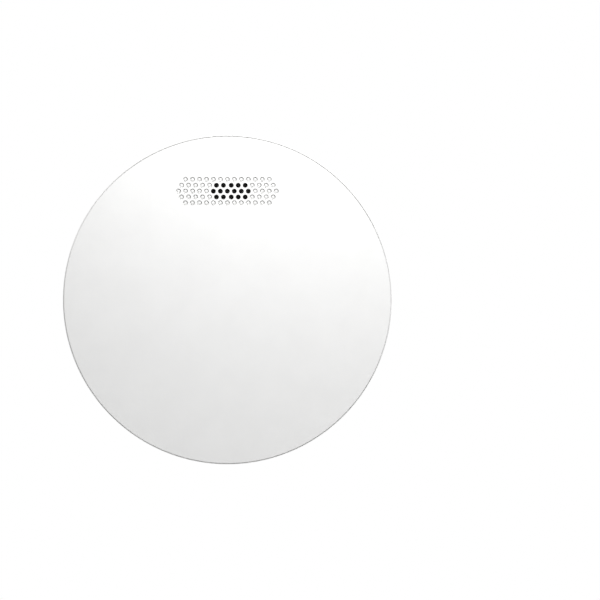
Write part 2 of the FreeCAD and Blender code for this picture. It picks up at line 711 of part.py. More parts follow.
def battery_holder():
    """Open cradle with two end walls, slots for the straps and four fingers over the cell."""
    play = 0.12
    pieces = [block((-HOLDER_END, HOLDER_END), (CELL_Y - HOLDER_HALF, CELL_Y + HOLDER_HALF),
                    BOARD_HIGH, HOLDER_HIGH)]
    for side in (-1, 1):
        for up in (-1, 1):
            pieces.append(block((side * FINGER_X[0], side * FINGER_X[1]),
                                (CELL_Y + up * (HOLDER_HALF - 1.4), CELL_Y + up * HOLDER_HALF),
                                HOLDER_HIGH - 0.5, FINGER_HIGH))
    half = CELL_LENGTH / 2 + 0.5
    cuts = [along_x(CELL_RADIUS + play, (-half, half), CELL_Y, CELL_HEIGHT)]
    for side in (-1, 1):
        cuts.append(block((side * (half - 0.1), side * (HOLDER_END + 1)), (CELL_Y - 2.6, CELL_Y + 2.6),
                          BOARD_HIGH - 1, BOARD_HIGH + 1.2))
    cuts.append(block((-7, 7), (CELL_Y - 12, CELL_Y + 12), CELL_HEIGHT - 3.5, HOLDER_HIGH + 1))
    return join(pieces).cut(cuts)


def battery_tabs():
    """Welded nickel straps that carry the cell's ends down to the board."""
    tabs = []
    half = CELL_LENGTH / 2
    for side in (-1, 1):
        riser = block((side * half, side * (half + 0.25)), (CELL_Y - 2, CELL_Y + 2),
                      BOARD_HIGH, HOLDER_HIGH - 0.2)
        foot = block((side * half, side * (half + 3.6)), (CELL_Y - 2, CELL_Y + 2),
                     BOARD_HIGH, BOARD_HIGH + 0.25)
        pad = block((side * (half + 0.6), side * (half + 3.6)), (CELL_Y - 2.2, CELL_Y + 2.2),
                    BOARD_HIGH, BOARD_HIGH + 0.25)
        tabs.append(join([riser, foot, pad]))
    return Part.makeCompound(tabs)


# ---------------------------------------------------------------- tray between electronics and gap
def spring_points():
    return [polar(SPRING_REACH, angle) for angle in SPRING_ANGLES]


def air_vanes():
    """Upright walls that steer the air from the gap toward the chamber."""
    vanes = []
    run, rise = 12.0, 6.6
    slanted = block((0, math.hypot(run, rise)), (-0.6, 0.6), DECK_HIGH - ROOT, LINER_LOW - PRESS - 0.4)
    slanted.rotate(ORIGIN, UP, math.degrees(math.atan2(rise, run)))
    slanted.translate(vec(12.0, -38.6, 0))
    vanes += [slanted, slanted.mirror(ORIGIN, vec(1, 0, 0))]
    low_rib = block((38.0, 49.0), (-0.5, 0.5), DECK_HIGH - ROOT, DECK_HIGH + 0.5)
    for angle in (-14.0, 8.0, 172.0, 190.0, 212.0, 328.0):
        vanes.append(turn_about(low_rib, (0, 0), angle))
    return vanes


def holder_room(play):
    """Outline of the battery holder with play all around, as ranges of x and y."""
    return ((-HOLDER_END - play, HOLDER_END + play),
            (CELL_Y - HOLDER_HALF - play, CELL_Y + HOLDER_HALF + play))


def tray_openings():
    """Everything that passes through the tray: tall parts of the board, ribs, posts and screws."""
    low = BOARD_LOW - 1
    high = LINER_LOW
    cuts = [disc(SOUNDER_RADIUS + 0.3, low, high, SOUNDER), disc(CHAMBER_RADIUS + 0.3, low, high, CHAMBER),
            block(*holder_room(0.3), low, high),
            disc(3.6, low, high, TEST_SWITCH), disc(1.0, low, high, LED_POINT)]
    for point in CAPACITOR_POINTS:
        cuts.append(disc(CAPACITOR_RADIUS + 0.4, low, high, point))
    for side in (-1, 1):
        slot_x = (side * (RIB_INNER - 0.6), side * (RIB_OUTER + 0.6))
        for up in (-1, 1):
            cuts.append(block(slot_x, (up * RIB_SLOT_Y[0], up * RIB_SLOT_Y[1]), low, high))
        gusset_x = (side * (GUSSET_X[0] - 0.4), side * (GUSSET_X[1] + 0.4))
        cuts.append(block(gusset_x, (-RIB_SLOT_Y[1] - 0.6, -RIB_SLOT_Y[1] + 0.2), low, high))
    cuts.append(block((LOCATOR_X[0] - 0.4, LOCATOR_X[1] + 0.4),
                      (LOCATOR_Y - 0.4, LOCATOR_Y + 2 * LOCATOR_THICK + 0.5), low, high))
    edge_notch = block((EDGE_RIB[0] - 0.5, EDGE_RIB[1] + 1), (-0.8, 0.8), low, DECK_LOW - 0.4)
    for angle in edge_rib_angles():
        cuts.append(turn_about(edge_notch, (0, 0), angle))
    for point in screw_points():
        cuts.append(disc(SCREW_RADIUS + 0.15, low, high, point))
        cuts.append(disc(SCREW_HEAD_RADIUS + 0.2, SCREW_HEAD_LOW, high, point))
    return cuts


def inner_tray():
    rim = ring(DECK_RADIUS, DECK_RADIUS - 1.2, DECK_LOW - 2.6, DECK_HIGH)
    pieces = [disc(DECK_RADIUS, DECK_LOW, DECK_HIGH), rim] + air_vanes()
    for point in screw_points():
        pieces.append(disc(PILLAR_RADIUS, BOARD_HIGH, DECK_HIGH, point))
    spring_room = SPRING_RADIUS + SPRING_WIRE / 2 + 0.1
    for point in spring_points():
        pieces.append(ring(CUP_RADIUS, spring_room, DECK_HIGH - ROOT, CUP_HIGH, point))
    return join(pieces).cut(tray_openings())


def tray_screws():
    """Self-tapping screws through tray and board into the pillars of the base."""
    screws = []
    for point in screw_points():
        head = disc(SCREW_HEAD_RADIUS, SCREW_HEAD_LOW, SCREW_HEAD_LOW + 1.6, point)
        shank = disc(SCREW_RADIUS, FLOOR_LOW + 1.4, SCREW_HEAD_LOW + 0.1, point)
        x, y = point
        bar = block((x - 1.3, x + 1.3), (y - 0.25, y + 0.25), SCREW_HEAD_LOW + 0.7, SCREW_HEAD_LOW + 2)
        recess = [bar, turn_about(bar, point, 90.0)]
        screws.append(head.fuse(shank).cut(recess).removeSplitter())
    return Part.makeCompound(screws)


# ---------------------------------------------------------------- front cover
def cover_shell():
    inner_radius = CASE_RADIUS - WALL
    skirt = turned([(0, COVER_LIP), (CASE_RADIUS, COVER_LIP), (DOME_EDGE_RADIUS, COVER_EDGE),
                    (DOME_EDGE_RADIUS, COVER_EDGE + 0.001), (0, COVER_EDGE + 0.001)])
    cap = disc(DOME_EDGE_RADIUS, COVER_EDGE - 1, COVER_EDGE + DOME_SAG + 1).common(dome_ball())
    outside = join([skirt, cap])
    rim = []
    for radius, height in ((CASE_RADIUS, COVER_LIP), (DOME_EDGE_RADIUS, COVER_EDGE)):
        rim += circles_at(outside, radius, height)
    outside = outside.makeFillet(EDGE_ROUND, rim)
    inside = turned([(0, COVER_LIP - 1), (inner_radius, COVER_LIP - 1),
                     (inner_radius - COVER_DRAFT, COVER_EDGE), (inner_radius - COVER_DRAFT, COVER_EDGE + 9),
                     (0, COVER_EDGE + 9)])
    return outside.cut(under_dome(inside, WALL))


def grille_points():
    """(x, y, is_open) of every hole and dimple of the sounder grille."""
    points = []
    for row, count in enumerate(GRILLE_ROWS):
        y = GRILLE_Y + (2 - row) * GRILLE_ROW_PITCH
        for index in range(count):
            x = (index - (count - 1) / 2) * GRILLE_PITCH
            if count % 2 == 0:
                x += math.copysign((GRILLE_MIDDLE_PITCH - GRILLE_PITCH) / 2, x)
            points.append((x, y, index in GRILLE_OPEN[row]))
    return points


def grille_cutters():
    cutters = []
    for x, y, is_open in grille_points():
        surface = dome_height(math.hypot(x, y))
        if is_open:
            cutters.append(disc(HOLE_RADIUS, surface - WALL - 1, surface + 1, (x, y)))
        else:
            floor = surface - DIMPLE_DEPTH
            slope = (DIMPLE_RADIUS - DIMPLE_FLOOR_RADIUS) / DIMPLE_DEPTH
            tall = DIMPLE_DEPTH + 0.3
            cutters.append(Part.makeCone(DIMPLE_FLOOR_RADIUS, DIMPLE_FLOOR_RADIUS + slope * tall, tall,
                                         vec(x, y, floor), UP))
    return cutters


def guide_rib(side, up):
    """Snap rib that hangs from the cover into the base and slides over a catch post."""
    thick = (up * (RIB_Y - RIB_THICK / 2), up * (RIB_Y + RIB_THICK / 2))
    blade = block((side * RIB_INNER, side * RIB_OUTER), thick, RIB_LOW, COVER_EDGE)
    web = block((side * (RIB_OUTER - 1), side * (RIB_OUTER + 3)), thick, COVER_LIP + 1, COVER_EDGE)
    window_x = (side * RIB_WINDOW_X[0], side * RIB_WINDOW_X[1])
    window = block(window_x, (up * (RIB_Y - 2), up * (RIB_Y + 2)), WINDOW_LOW, WINDOW_HIGH)
    return blade.fuse(web).cut(window)


LINER_STAKES = tuple(polar(46.0, angle) for angle in (0.0, 62.0, 118.0, 180.0, 243.0, 297.0))
STAKE_RADIUS = 1.1


def press_post():
    """Ribbed post that pushes the plunger of the test switch."""
    x, y = TEST_SWITCH
    post = disc(1.7, PLUNGER_HIGH + 0.05, COVER_EDGE, TEST_SWITCH)
    fin = block((x - 3.4, x + 3.4), (y - 0.5, y + 0.5), LINER_HIGH + 1, COVER_EDGE)
    return [post, fin, turn_about(fin, TEST_SWITCH, 90.0)]


def front_cover():
    shell = cover_shell()
    inner = CASE_RADIUS - WALL + 0.2
    inside_pieces = press_post()
    for side in (-1, 1):
        for up in (-1, 1):
            inside_pieces.append(guide_rib(side, up))
    inside_pieces.append(block(LOCATOR_X, (LOCATOR_Y, LOCATOR_Y + LOCATOR_THICK), LOCATOR_LOW, COVER_EDGE))
    for point in spring_points():
        inside_pieces.append(disc(SPRING_RADIUS + 0.9, SPRING_SEAT, COVER_EDGE, point))
        inside_pieces.append(disc(SPRING_RADIUS - 0.5, SPRING_SEAT - 1.0, COVER_EDGE, point))
    for point in LINER_STAKES:
        inside_pieces.append(disc(2.2, LINER_HIGH, COVER_EDGE, point))
        inside_pieces.append(disc(STAKE_RADIUS, LINER_LOW, COVER_EDGE, point))
    trim = disc(inner, 0, COVER_EDGE + DOME_SAG).common(dome_ball(WALL - 0.3))
    fittings = [piece.common(trim) for piece in inside_pieces]
    cover = join([shell] + fittings)
    return cover.cut(grille_cutters() + [alignment_mark(COVER_MARK)])


def smoke_guide():
    """Black liner of the cover; with the tray it forms the air channel behind the gap."""
    pieces = [disc(LINER_RADIUS, LINER_LOW, LINER_HIGH)]
    root = LINER_LOW + ROOT
    lip_y = LOCATOR_Y + LOCATOR_THICK + FIT
    curtain_y = holder_room(0.2)[1]
    pieces.append(block(LOCATOR_X, (lip_y, lip_y + LOCATOR_THICK), LOCATOR_LOW, root))
    for side in (-1, 1):
        curtain_x = (side * (HOLDER_END + 0.8), side * (HOLDER_END + 1.8))
        pieces.append(block(curtain_x, curtain_y, CURTAIN_LOW, root))
    for point in spring_points():
        pieces.append(ring(CUP_RADIUS + 1.2, CUP_RADIUS + 0.4, CURTAIN_LOW, root, point))
    baffle_y = (curtain_y[0] - 0.2, -RIB_Y - 2)
    pieces.append(block((-0.5, 0.5), baffle_y, DECK_HIGH + PRESS + 0.4, root))
    liner = join(pieces)
    low = LINER_LOW - 5
    high = LINER_HIGH + 1
    cuts = [disc(SOUNDER_RADIUS + 0.35, low, high, SOUNDER), disc(CHAMBER_RADIUS + 0.6, low, high, CHAMBER),
            block(*holder_room(0.4), low, high), disc(2.6, low, high, TEST_SWITCH)]
    for point in LINER_STAKES:
        cuts.append(disc(STAKE_RADIUS, low, high, point))
    for point in spring_points():
        cuts.append(disc(SPRING_RADIUS + 0.9, low, high, point))
    cuts.append(block((LOCATOR_X[0] - FIT, LOCATOR_X[1] + FIT), (LOCATOR_Y - FIT, lip_y), low, high))
    half = RIB_THICK / 2 + FIT
    for side in (-1, 1):
        rib_x = (side * (RIB_INNER - FIT), side * (RIB_OUTER + 3))
        for up in (-1, 1):
            cuts.append(block(rib_x, (up * (RIB_Y - half), up * (RIB_Y + half)), low, high))
    return liner.cut(cuts)


def grille_cloth():
    """Acoustic cloth stuck behind the grille."""
    thick = 0.2
    patch = slot(40.0, 12.0, 20.0, COVER_EDGE + DOME_SAG, (0.0, GRILLE_Y))
    return patch.common(dome_ball(WALL)).cut(dome_ball(WALL + thick))


def cover_springs():
    """Compression springs that push the cover back out."""
    springs = []
    low = DECK_HIGH + SPRING_WIRE / 2
    high = SPRING_SEAT - SPRING_WIRE / 2
    pitch = (high - low) / SPRING_TURNS
    for x, y in spring_points():
        path = Part.Wire(Part.makeHelix(pitch, high - low, SPRING_RADIUS).Edges)
        section = Part.Wire(Part.makeCircle(SPRING_WIRE / 2, vec(SPRING_RADIUS, 0, 0), vec(0, 1, 0)))
        coil = path.makePipeShell([section], True, True)
        coil.translate(vec(x, y, low))
        springs.append(coil)
    return Part.makeCompound(springs)


NODES = {
    "mounting_plate": mounting_plate,
    "rubber_feet": rubber_feet,
    "base_housing": base_housing,
    "rating_label": rating_label,
    "test_switch_body": test_switch_body,
    "test_switch_plunger": test_switch_plunger,
    "activation_lever": activation_lever,
    "activation_switch": activation_switch,
    "circuit_board": board_outline,
    "microcontroller": microcontroller,
    "driver_chip": driver_chip,
    "capacitors": capacitors,
    "chip_parts": chip_parts,
    "boost_coil": boost_coil,
    "status_led": status_led,
    "chamber_base": chamber_base,
    "chamber_cap": chamber_cap,
    "insect_screen": insect_screen,
    "ir_emitter": ir_emitter,
    "photodiode": photodiode,
    "photodiode_shield": photodiode_shield,
    "sounder_housing": sounder_housing,
    "piezo_disc": piezo_disc,
    "piezo_ceramic": piezo_ceramic,
    "piezo_clamp": piezo_clamp,
    "sounder_contacts": sounder_contacts,
    "battery_cell": battery_cell,
    "battery_holder": battery_holder,
    "battery_tabs": battery_tabs,
    "inner_tray": inner_tray,
    "tray_screws": tray_screws,
    "front_cover": front_cover,
    "smoke_guide": smoke_guide,
    "grille_cloth": grille_cloth,
    "cover_springs": cover_springs,
}

os.makedirs("parts", exist_ok=True)
for node_name, build in NODES.items():
    save(node_name, build())
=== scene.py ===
"""Looks of the smoke detector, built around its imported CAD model.

Like the CAD source, the pieces are drawn in a face frame in millimetres: x to the right and y up as the
detector is seen from the front, and h as height off the wall.  stand_up() turns that frame into the row
frame: metres, front toward -Y, +Z up.
"""

import json
import math

import bmesh
import bpy
from mathutils import Matrix, Vector


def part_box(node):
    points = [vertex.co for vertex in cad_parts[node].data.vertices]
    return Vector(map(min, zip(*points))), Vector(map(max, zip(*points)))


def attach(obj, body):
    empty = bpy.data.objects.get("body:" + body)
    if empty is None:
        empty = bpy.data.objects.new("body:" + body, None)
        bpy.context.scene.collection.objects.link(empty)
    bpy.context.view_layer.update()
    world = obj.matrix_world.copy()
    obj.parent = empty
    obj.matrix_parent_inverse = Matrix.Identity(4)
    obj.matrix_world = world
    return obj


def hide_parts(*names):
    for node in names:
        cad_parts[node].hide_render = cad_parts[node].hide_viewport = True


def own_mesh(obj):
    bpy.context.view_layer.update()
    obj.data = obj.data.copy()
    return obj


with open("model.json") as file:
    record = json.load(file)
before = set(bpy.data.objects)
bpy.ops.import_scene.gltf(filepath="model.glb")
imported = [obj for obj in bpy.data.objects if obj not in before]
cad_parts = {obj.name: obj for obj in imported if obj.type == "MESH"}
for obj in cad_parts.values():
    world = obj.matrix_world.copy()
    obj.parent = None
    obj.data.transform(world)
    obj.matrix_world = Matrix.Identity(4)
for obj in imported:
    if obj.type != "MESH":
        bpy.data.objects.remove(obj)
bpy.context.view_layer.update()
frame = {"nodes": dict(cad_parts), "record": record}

MM = 0.001
record = frame["record"]


# ---------------------------------------------------------------- sizes read from the frame
def face_box(node):
    """A CAD node's box in the face frame: (x, y, h) of its lowest and highest corners, in mm."""
    low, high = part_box(node)
    return (Vector((low.x, low.z, -high.y)) / MM, Vector((high.x, high.z, -low.y)) / MM)


def face_centre(node):
    low, high = face_box(node)
    return (low + high) / 2


COVER_LOW, COVER_HIGH = face_box("front_cover")
PLATE_LOW, PLATE_HIGH = face_box("mounting_plate")

CASE_RADIUS = 55.0
APEX = COVER_HIGH.z
BACK = PLATE_LOW.z
WALL = 1.8
CHAMFER = 3.3                  # bevel around the rear of the base
BASE_TOP = 14.45               # lower lip of the smoke gap
COVER_LIP = 16.9               # upper lip of the smoke gap
DOME_SAG = 2.35
COVER_EDGE = APEX - DOME_SAG
BASE_DRAFT = 0.45
COVER_DRAFT = 0.3
EDGE_ROUND = 0.3
SEGMENTS = 256

DOME_EDGE = CASE_RADIUS - COVER_DRAFT
DOME_RADIUS = (DOME_EDGE ** 2 + DOME_SAG ** 2) / (2 * DOME_SAG)
DOME_CENTRE = APEX - DOME_RADIUS

FLOOR_LOW = 3.1
FLOOR_HIGH = FLOOR_LOW + WALL
ROOT = 0.5                     # how deep a rib or a post starts inside the wall that it stands on
PLATE_TOP = 2.7
PLATE_RADIUS = PLATE_HIGH.x
TRAY_TOP = 13.8


def dome_height(reach, depth=0.0):
    """Height of the dome at a distance from the axis, or of a surface this deep under it."""
    return DOME_CENTRE + math.sqrt((DOME_RADIUS - depth) ** 2 - reach ** 2)


# ---------------------------------------------------------------- mesh helpers
def stand_up(point):
    """A point of the face frame in the row frame."""
    return Vector((point[0], -point[2], point[1])) * MM


def polar(reach, angle, centre=(0.0, 0.0)):
    turn = math.radians(angle)
    return (centre[0] + reach * math.cos(turn), centre[1] + reach * math.sin(turn))


def arc(radius, start, end, steps):
    """Points of a circle about the case axis, from one angle in degrees to another."""
    return [polar(radius, start + (end - start) * step / steps) for step in range(steps + 1)]


def softened(corners, steps=4, support=0.12):
    """Closed outline with its corners rounded; corners are (radius, height, rounding)."""
    outline = []
    count = len(corners)
    for index, (x, y, size) in enumerate(corners):
        here = Vector((x, y))
        if size <= 0:
            outline.append(here)
            continue
        before = Vector(corners[index - 1][:2])
        after = Vector(corners[(index + 1) % count][:2])
        back = (before - here).normalized()
        ahead = (after - here).normalized()
        half = back.angle(ahead) / 2
        cut = size / math.tan(half)
        centre = here + (back + ahead).normalized() * (size / math.sin(half))
        start = here + back * cut
        end = here + ahead * cut
        outline.append(start + back * support)
        first = start - centre
        sweep = first.angle_signed(end - centre)
        for step in range(steps + 1):
            turn = Matrix.Rotation(-sweep * step / steps, 2)
            outline.append(centre + turn @ first)
        outline.append(end + ahead * support)
    return outline


def revolve(mesh, outline, segments=SEGMENTS, centre=(0.0, 0.0), closed=True):
    """Turn an outline of (radius, height) about the axis through centre."""
    rings = []
    for radius, height in outline:
        if radius < 1e-6:
            rings.append([mesh.verts.new((centre[0], centre[1], height))])
            continue
        ring = []
        for index in range(segments):
            x, y = polar(radius, 360 * index / segments, centre)
            ring.append(mesh.verts.new((x, y, height)))
        rings.append(ring)
    pairs = list(zip(rings, rings[1:] + rings[:1])) if closed else list(zip(rings, rings[1:]))
    for one, two in pairs:
        for index in range(segments):
            after = (index + 1) % segments
            if len(one) == 1 and len(two) == 1:
                break
            if len(one) == 1:
                mesh.faces.new((one[0], two[index], two[after]))
            elif len(two) == 1:
                mesh.faces.new((one[index], one[after], two[0]))
            else:
                mesh.faces.new((one[index], one[after], two[after], two[index]))


def block(mesh, x_range, y_range, h_range, soft=0.0, turn=0.0, about=(0.0, 0.0)):
    """Box with slightly rounded edges, turned by so many degrees about a point."""
    made = bmesh.ops.create_cube(mesh, size=1.0)["verts"]
    spans = [sorted(span) for span in (x_range, y_range, h_range)]
    for vert in made:
        for axis in range(3):
            low, high = spans[axis]
            vert.co[axis] = low if vert.co[axis] < 0 else high
    if soft > 0:
        edges = list({edge for vert in made for edge in vert.link_edges})
        result = bmesh.ops.bevel(mesh, geom=edges, offset=soft, segments=2, profile=0.7, affect="EDGES")
        rounded = {vert for face in result["faces"] for vert in face.verts}
        made = list(rounded | {vert for vert in made if vert.is_valid})
    if turn:
        matrix = Matrix.Rotation(math.radians(turn), 3, "Z")
        bmesh.ops.rotate(mesh, verts=made, cent=(about[0], about[1], 0), matrix=matrix)
    return made


def peg(mesh, radius, low, high, centre, soft=0.15, segments=48):
    """Upright round pin with rounded ends."""
    corners = [(0, low, 0), (radius, low, soft), (radius, high, soft), (0, high, 0)]
    revolve(mesh, softened(corners, 3, 0.03), segments, centre, closed=False)


def prism(mesh, outline, low, high):
    """Upright solid over a flat outline of (x, y) points."""
    bottom = [mesh.verts.new((x, y, low)) for x, y in outline]
    top = [mesh.verts.new((x, y, high)) for x, y in outline]
    mesh.faces.new(reversed(bottom))
    mesh.faces.new(top)
    for index in range(len(outline)):
        after = (index + 1) % len(outline)
        mesh.faces.new((bottom[index], bottom[after], top[after], top[index]))


def slot_outline(length, width, centre, steps=24):
    """Round-ended slot along x."""
    points = []
    reach = (length - width) / 2
    for side, start in ((1, -90), (-1, 90)):
        for step in range(steps + 1):
            x, y = polar(width / 2, start + 180 * step / steps)
            points.append((centre[0] + side * reach + x, centre[1] + y))
    return points


def sector_outline(outer, inner, start, end, steps=24):
    """Part of a ring between two angles in degrees."""
    return arc(outer, start, end, steps) + arc(inner, end, start, steps)


def to_object(name, mesh):
    """Object with the drawn mesh, all faces outward."""
    bmesh.ops.recalc_face_normals(mesh, faces=mesh.faces)
    data = bpy.data.meshes.new(name)
    mesh.to_mesh(data)
    mesh.free()
    made = bpy.data.objects.new(name, data)
    bpy.context.scene.collection.objects.link(made)
    return made


def combine(body, tool, operation):
    """Boolean of two objects in place; the tool is used up."""
    modifier = body.modifiers.new("cut", "BOOLEAN")
    modifier.operation = operation
    modifier.solver = "EXACT"
    modifier.use_self = operation == "UNION"
    modifier.object = tool
    graph = bpy.context.evaluated_depsgraph_get()
    result = bpy.data.meshes.new_from_object(body.evaluated_get(graph))
    body.modifiers.clear()
    body.data = result
    bpy.data.objects.remove(tool)


def carve(body, tool):
    combine(body, tool, "DIFFERENCE")


def finish_piece(piece, body, material, replaces=(), smooth=32.0, dome=False):
    """Turn a drawn piece upright, shade it and put it on its CAD body."""
    data = piece.data
    for vert in data.vertices:
        vert.co = stand_up(vert.co)
    for polygon in data.polygons:
        polygon.use_smooth = True
    data.set_sharp_from_angle(angle=math.radians(smooth))
    if dome:
        follow_dome(data)
    data.materials.clear()
    data.materials.append(material)
    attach(piece, body)
    if replaces:
        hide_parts(*replaces)
    return piece


def follow_dome(data):
    """Give the outer dome the normals of its true sphere, so that no facet or hole disturbs its sheen."""
    centre = stand_up((0, 0, DOME_CENTRE))
    radius = DOME_RADIUS * MM
    normals = [Vector(corner.vector) for corner in data.corner_normals]
    limit = math.cos(math.radians(3.0))
    for polygon in data.polygons:
        corners = [data.vertices[index].co - centre for index in polygon.vertices]
        if any(abs(corner.length - radius) > 2e-6 for corner in corners):
            continue
        middle = (polygon.center - centre).normalized()
        if middle.dot(polygon.normal) < limit:
            continue
        for loop, corner in zip(polygon.loop_indices, corners):
            normals[loop] = corner.normalized()
    data.normals_split_custom_set(normals)


# ---------------------------------------------------------------- materials
class Nodes:
    """Small helper that adds linked nodes to a material."""

    def __init__(self, name):
        self.material = bpy.data.materials.new(name)
        self.material.use_nodes = True
        self.tree = self.material.node_tree
        self.shader = self.tree.nodes["Principled BSDF"]
        self.place = self.add("ShaderNodeTexCoord").outputs["Object"]

    def add(self, kind, **values):
        node = self.tree.nodes.new(kind)
        for key, value in values.items():
            setattr(node, key, value)
        return node

    def link(self, source, target):
        self.tree.links.new(source, target)

    def stretched(self, scale):
        node = self.add("ShaderNodeMapping")
        node.inputs["Scale"].default_value = scale
        self.link(self.place, node.inputs["Vector"])
        return node.outputs["Vector"]

    def noise(self, size, detail=4.0, rough=0.55, vector=None):
        """Noise whose grain is about `size` millimetres."""
        node = self.add("ShaderNodeTexNoise")
        node.inputs["Scale"].default_value = 1.0 / (size * MM)
        node.inputs["Detail"].default_value = detail
        node.inputs["Roughness"].default_value = rough
        self.link(vector or self.place, node.inputs["Vector"])
        return node.outputs["Fac"]

    def ramp(self, value, stops):
        node = self.add("ShaderNodeValToRGB")
        ramp = node.color_ramp
        while len(ramp.elements) < len(stops):
            ramp.elements.new(0.5)
        for element, (place, colour) in zip(ramp.elements, stops):
            element.position = place
            element.color = (*colour, 1.0)
        self.link(value, node.inputs["Fac"])
        return node.outputs["Color"]

    def span(self, value, low, high, start=0.0, end=1.0):
        node = self.add("ShaderNodeMapRange")
        node.inputs["From Min"].default_value = start
        node.inputs["From Max"].default_value = end
        node.inputs["To Min"].default_value = low
        node.inputs["To Max"].default_value = high
        self.link(value, node.inputs["Value"])
        return node.outputs["Result"]

    def bump(self, value, height, strength=1.0, under=None):
        """Relief of so many millimetres."""
        node = self.add("ShaderNodeBump")
        node.inputs["Strength"].default_value = strength
        node.inputs["Distance"].default_value = height * MM
        self.link(value, node.inputs["Height"])
        if under is not None:
            self.link(under, node.inputs["Normal"])
        return node.outputs["Normal"]

    def set(self, **values):
        for key, value in values.items():
            self.shader.inputs[key.replace("_", " ")].default_value = value

    def to(self, socket, source):
        self.link(source, self.shader.inputs[socket])


def moulded(name, light, dark, rough=(0.32, 0.42), grain=0.25, relief=0.004, mottle=9.0):
    """Injection-moulded plastic: spark-eroded grain, faint flow mottling and uneven gloss."""
    made = Nodes(name)
    made.to("Base Color", made.ramp(made.noise(mottle, 3.0), [(0.3, dark), (0.7, light)]))
    made.to("Roughness", made.span(made.noise(mottle * 0.4, 5.0), *rough, 0.3, 0.7))
    fine = made.bump(made.noise(grain, 2.0), relief)
    made.to("Normal", made.bump(made.noise(mottle * 1.6, 1.0), relief * 2.0, 0.4, fine))
    made.set(IOR=1.5)
    return made.material


def metal(name, light, dark, rough=(0.2, 0.34), streak=(1.0, 1.0, 1.0), grain=0.3):
    """Bare or plated metal; streak stretches its grain along one axis."""
    made = Nodes(name)
    lines = made.noise(grain, 4.0, 0.6, made.stretched(streak))
    made.to("Base Color", made.ramp(lines, [(0.3, dark), (0.7, light)]))
    made.to("Roughness", made.span(made.noise(1.5, 4.0), *rough, 0.3, 0.7))
    made.to("Normal", made.bump(lines, 0.002))
    made.set(Metallic=1.0)
    return made.material


def rubber(name, light, dark):
    """Soft rubber with a fine pitted skin."""
    made = Nodes(name)
    made.to("Base Color", made.ramp(made.noise(0.8, 5.0), [(0.35, dark), (0.65, light)]))
    made.to("Roughness", made.span(made.noise(0.5, 3.0), 0.62, 0.8, 0.3, 0.7))
    made.to("Normal", made.bump(made.noise(0.15, 2.0), 0.012))
    made.set(IOR=1.45)
    return made.material


def woven(name, light, dark, pitch=0.35):
    """Fine plain weave: two crossed sets of threads."""
    made = Nodes(name)
    waves = []
    for direction in ("X", "Z"):
        wave = made.add("ShaderNodeTexWave", wave_type="BANDS", bands_direction=direction)
        wave.inputs["Scale"].default_value = 0.314 / (pitch * MM)
        wave.inputs["Distortion"].default_value = 0.6
        wave.inputs["Detail"].default_value = 1.0
        made.link(made.place, wave.inputs["Vector"])
        waves.append(wave.outputs["Fac"])
    mix = made.add("ShaderNodeMath", operation="MAXIMUM")
    made.link(waves[0], mix.inputs[0])
    made.link(waves[1], mix.inputs[1])
    threads = mix.outputs["Value"]
    made.to("Base Color", made.ramp(threads, [(0.2, dark), (0.9, light)]))
    made.to("Roughness", made.span(threads, 0.95, 0.75))
    made.to("Normal", made.bump(threads, 0.08))
    return made.material


def solder_mask(name):
    """Green board with paler tracks under the mask."""
    made = Nodes(name)
    tracks = made.add("ShaderNodeTexBrick")
    tracks.inputs["Scale"].default_value = 1.0 / (9.0 * MM)
    tracks.inputs["Mortar Size"].default_value = 0.035
    tracks.inputs["Color1"].default_value = (0.02, 0.11, 0.045, 1)
    tracks.inputs["Color2"].default_value = (0.015, 0.09, 0.035, 1)
    tracks.inputs["Mortar"].default_value = (0.05, 0.24, 0.09, 1)
    upright = made.add("ShaderNodeMapping")
    upright.inputs["Rotation"].default_value = (math.radians(90), 0, 0)
    made.link(made.place, upright.inputs["Vector"])
    made.link(upright.outputs["Vector"], tracks.inputs["Vector"])
    made.to("Base Color", tracks.outputs["Color"])
    made.to("Roughness", made.span(made.noise(0.8, 4.0), 0.22, 0.36, 0.3, 0.7))
    made.to("Normal", made.bump(tracks.outputs["Fac"], 0.03))
    return made.material


def clear_epoxy(name, colour, shade):
    """Glossy cast epoxy of a lamp or a lens."""
    made = Nodes(name)
    made.to("Base Color", made.ramp(made.noise(1.2, 2.0), [(0.3, shade), (0.7, colour)]))
    made.to("Roughness", made.span(made.noise(0.6, 3.0), 0.06, 0.14, 0.3, 0.7))
    made.to("Normal", made.bump(made.noise(0.9, 2.0), 0.004))
    made.set(Coat_Weight=0.5)
    return made.material


WHITE = moulded("satin_white", (0.865, 0.865, 0.86), (0.845, 0.845, 0.84), (0.30, 0.38), 0.22, 0.003)
WHITE_BACK = moulded("satin_white_back", (0.84, 0.84, 0.83), (0.82, 0.82, 0.81), (0.42, 0.5), 0.3, 0.004)
BLACK = moulded("matt_black", (0.055, 0.055, 0.057), (0.042, 0.042, 0.044), (0.5, 0.65), 0.2, 0.008)
# Smoke chamber, insect screen and smoke guide: real black plastic, made far darker than the other black
# parts as painted shade deep inside the case.
CHAMBER_BLACK_AND_SHADE = moulded("light_trap_black_and_painted_shade", (0.006, 0.006, 0.006), (0.004, 0.004, 0.004), (0.8, 0.95),
                     0.2, 0.012)
GREY = moulded("dark_grey", (0.13, 0.13, 0.135), (0.10, 0.10, 0.105), (0.5, 0.62), 0.2, 0.008)
CHIP = moulded("chip_epoxy", (0.035, 0.035, 0.038), (0.02, 0.02, 0.022), (0.4, 0.5), 0.12, 0.008, 2.0)
RUBBER = rubber("black_rubber", (0.03, 0.03, 0.031), (0.015, 0.015, 0.016))
STEEL = metal("spring_steel", (0.62, 0.62, 0.63), (0.42, 0.42, 0.44))
NICKEL = metal("nickel_plate", (0.70, 0.68, 0.64), (0.55, 0.53, 0.50), (0.12, 0.22))
BRASS = metal("bare_brass", (0.78, 0.60, 0.30), (0.62, 0.46, 0.22), (0.2, 0.32), (1.0, 1.0, 12.0), 0.6)
CAN = metal("can_aluminium", (0.80, 0.80, 0.82), (0.66, 0.66, 0.68), (0.18, 0.28), (1.0, 14.0, 1.0), 0.6)
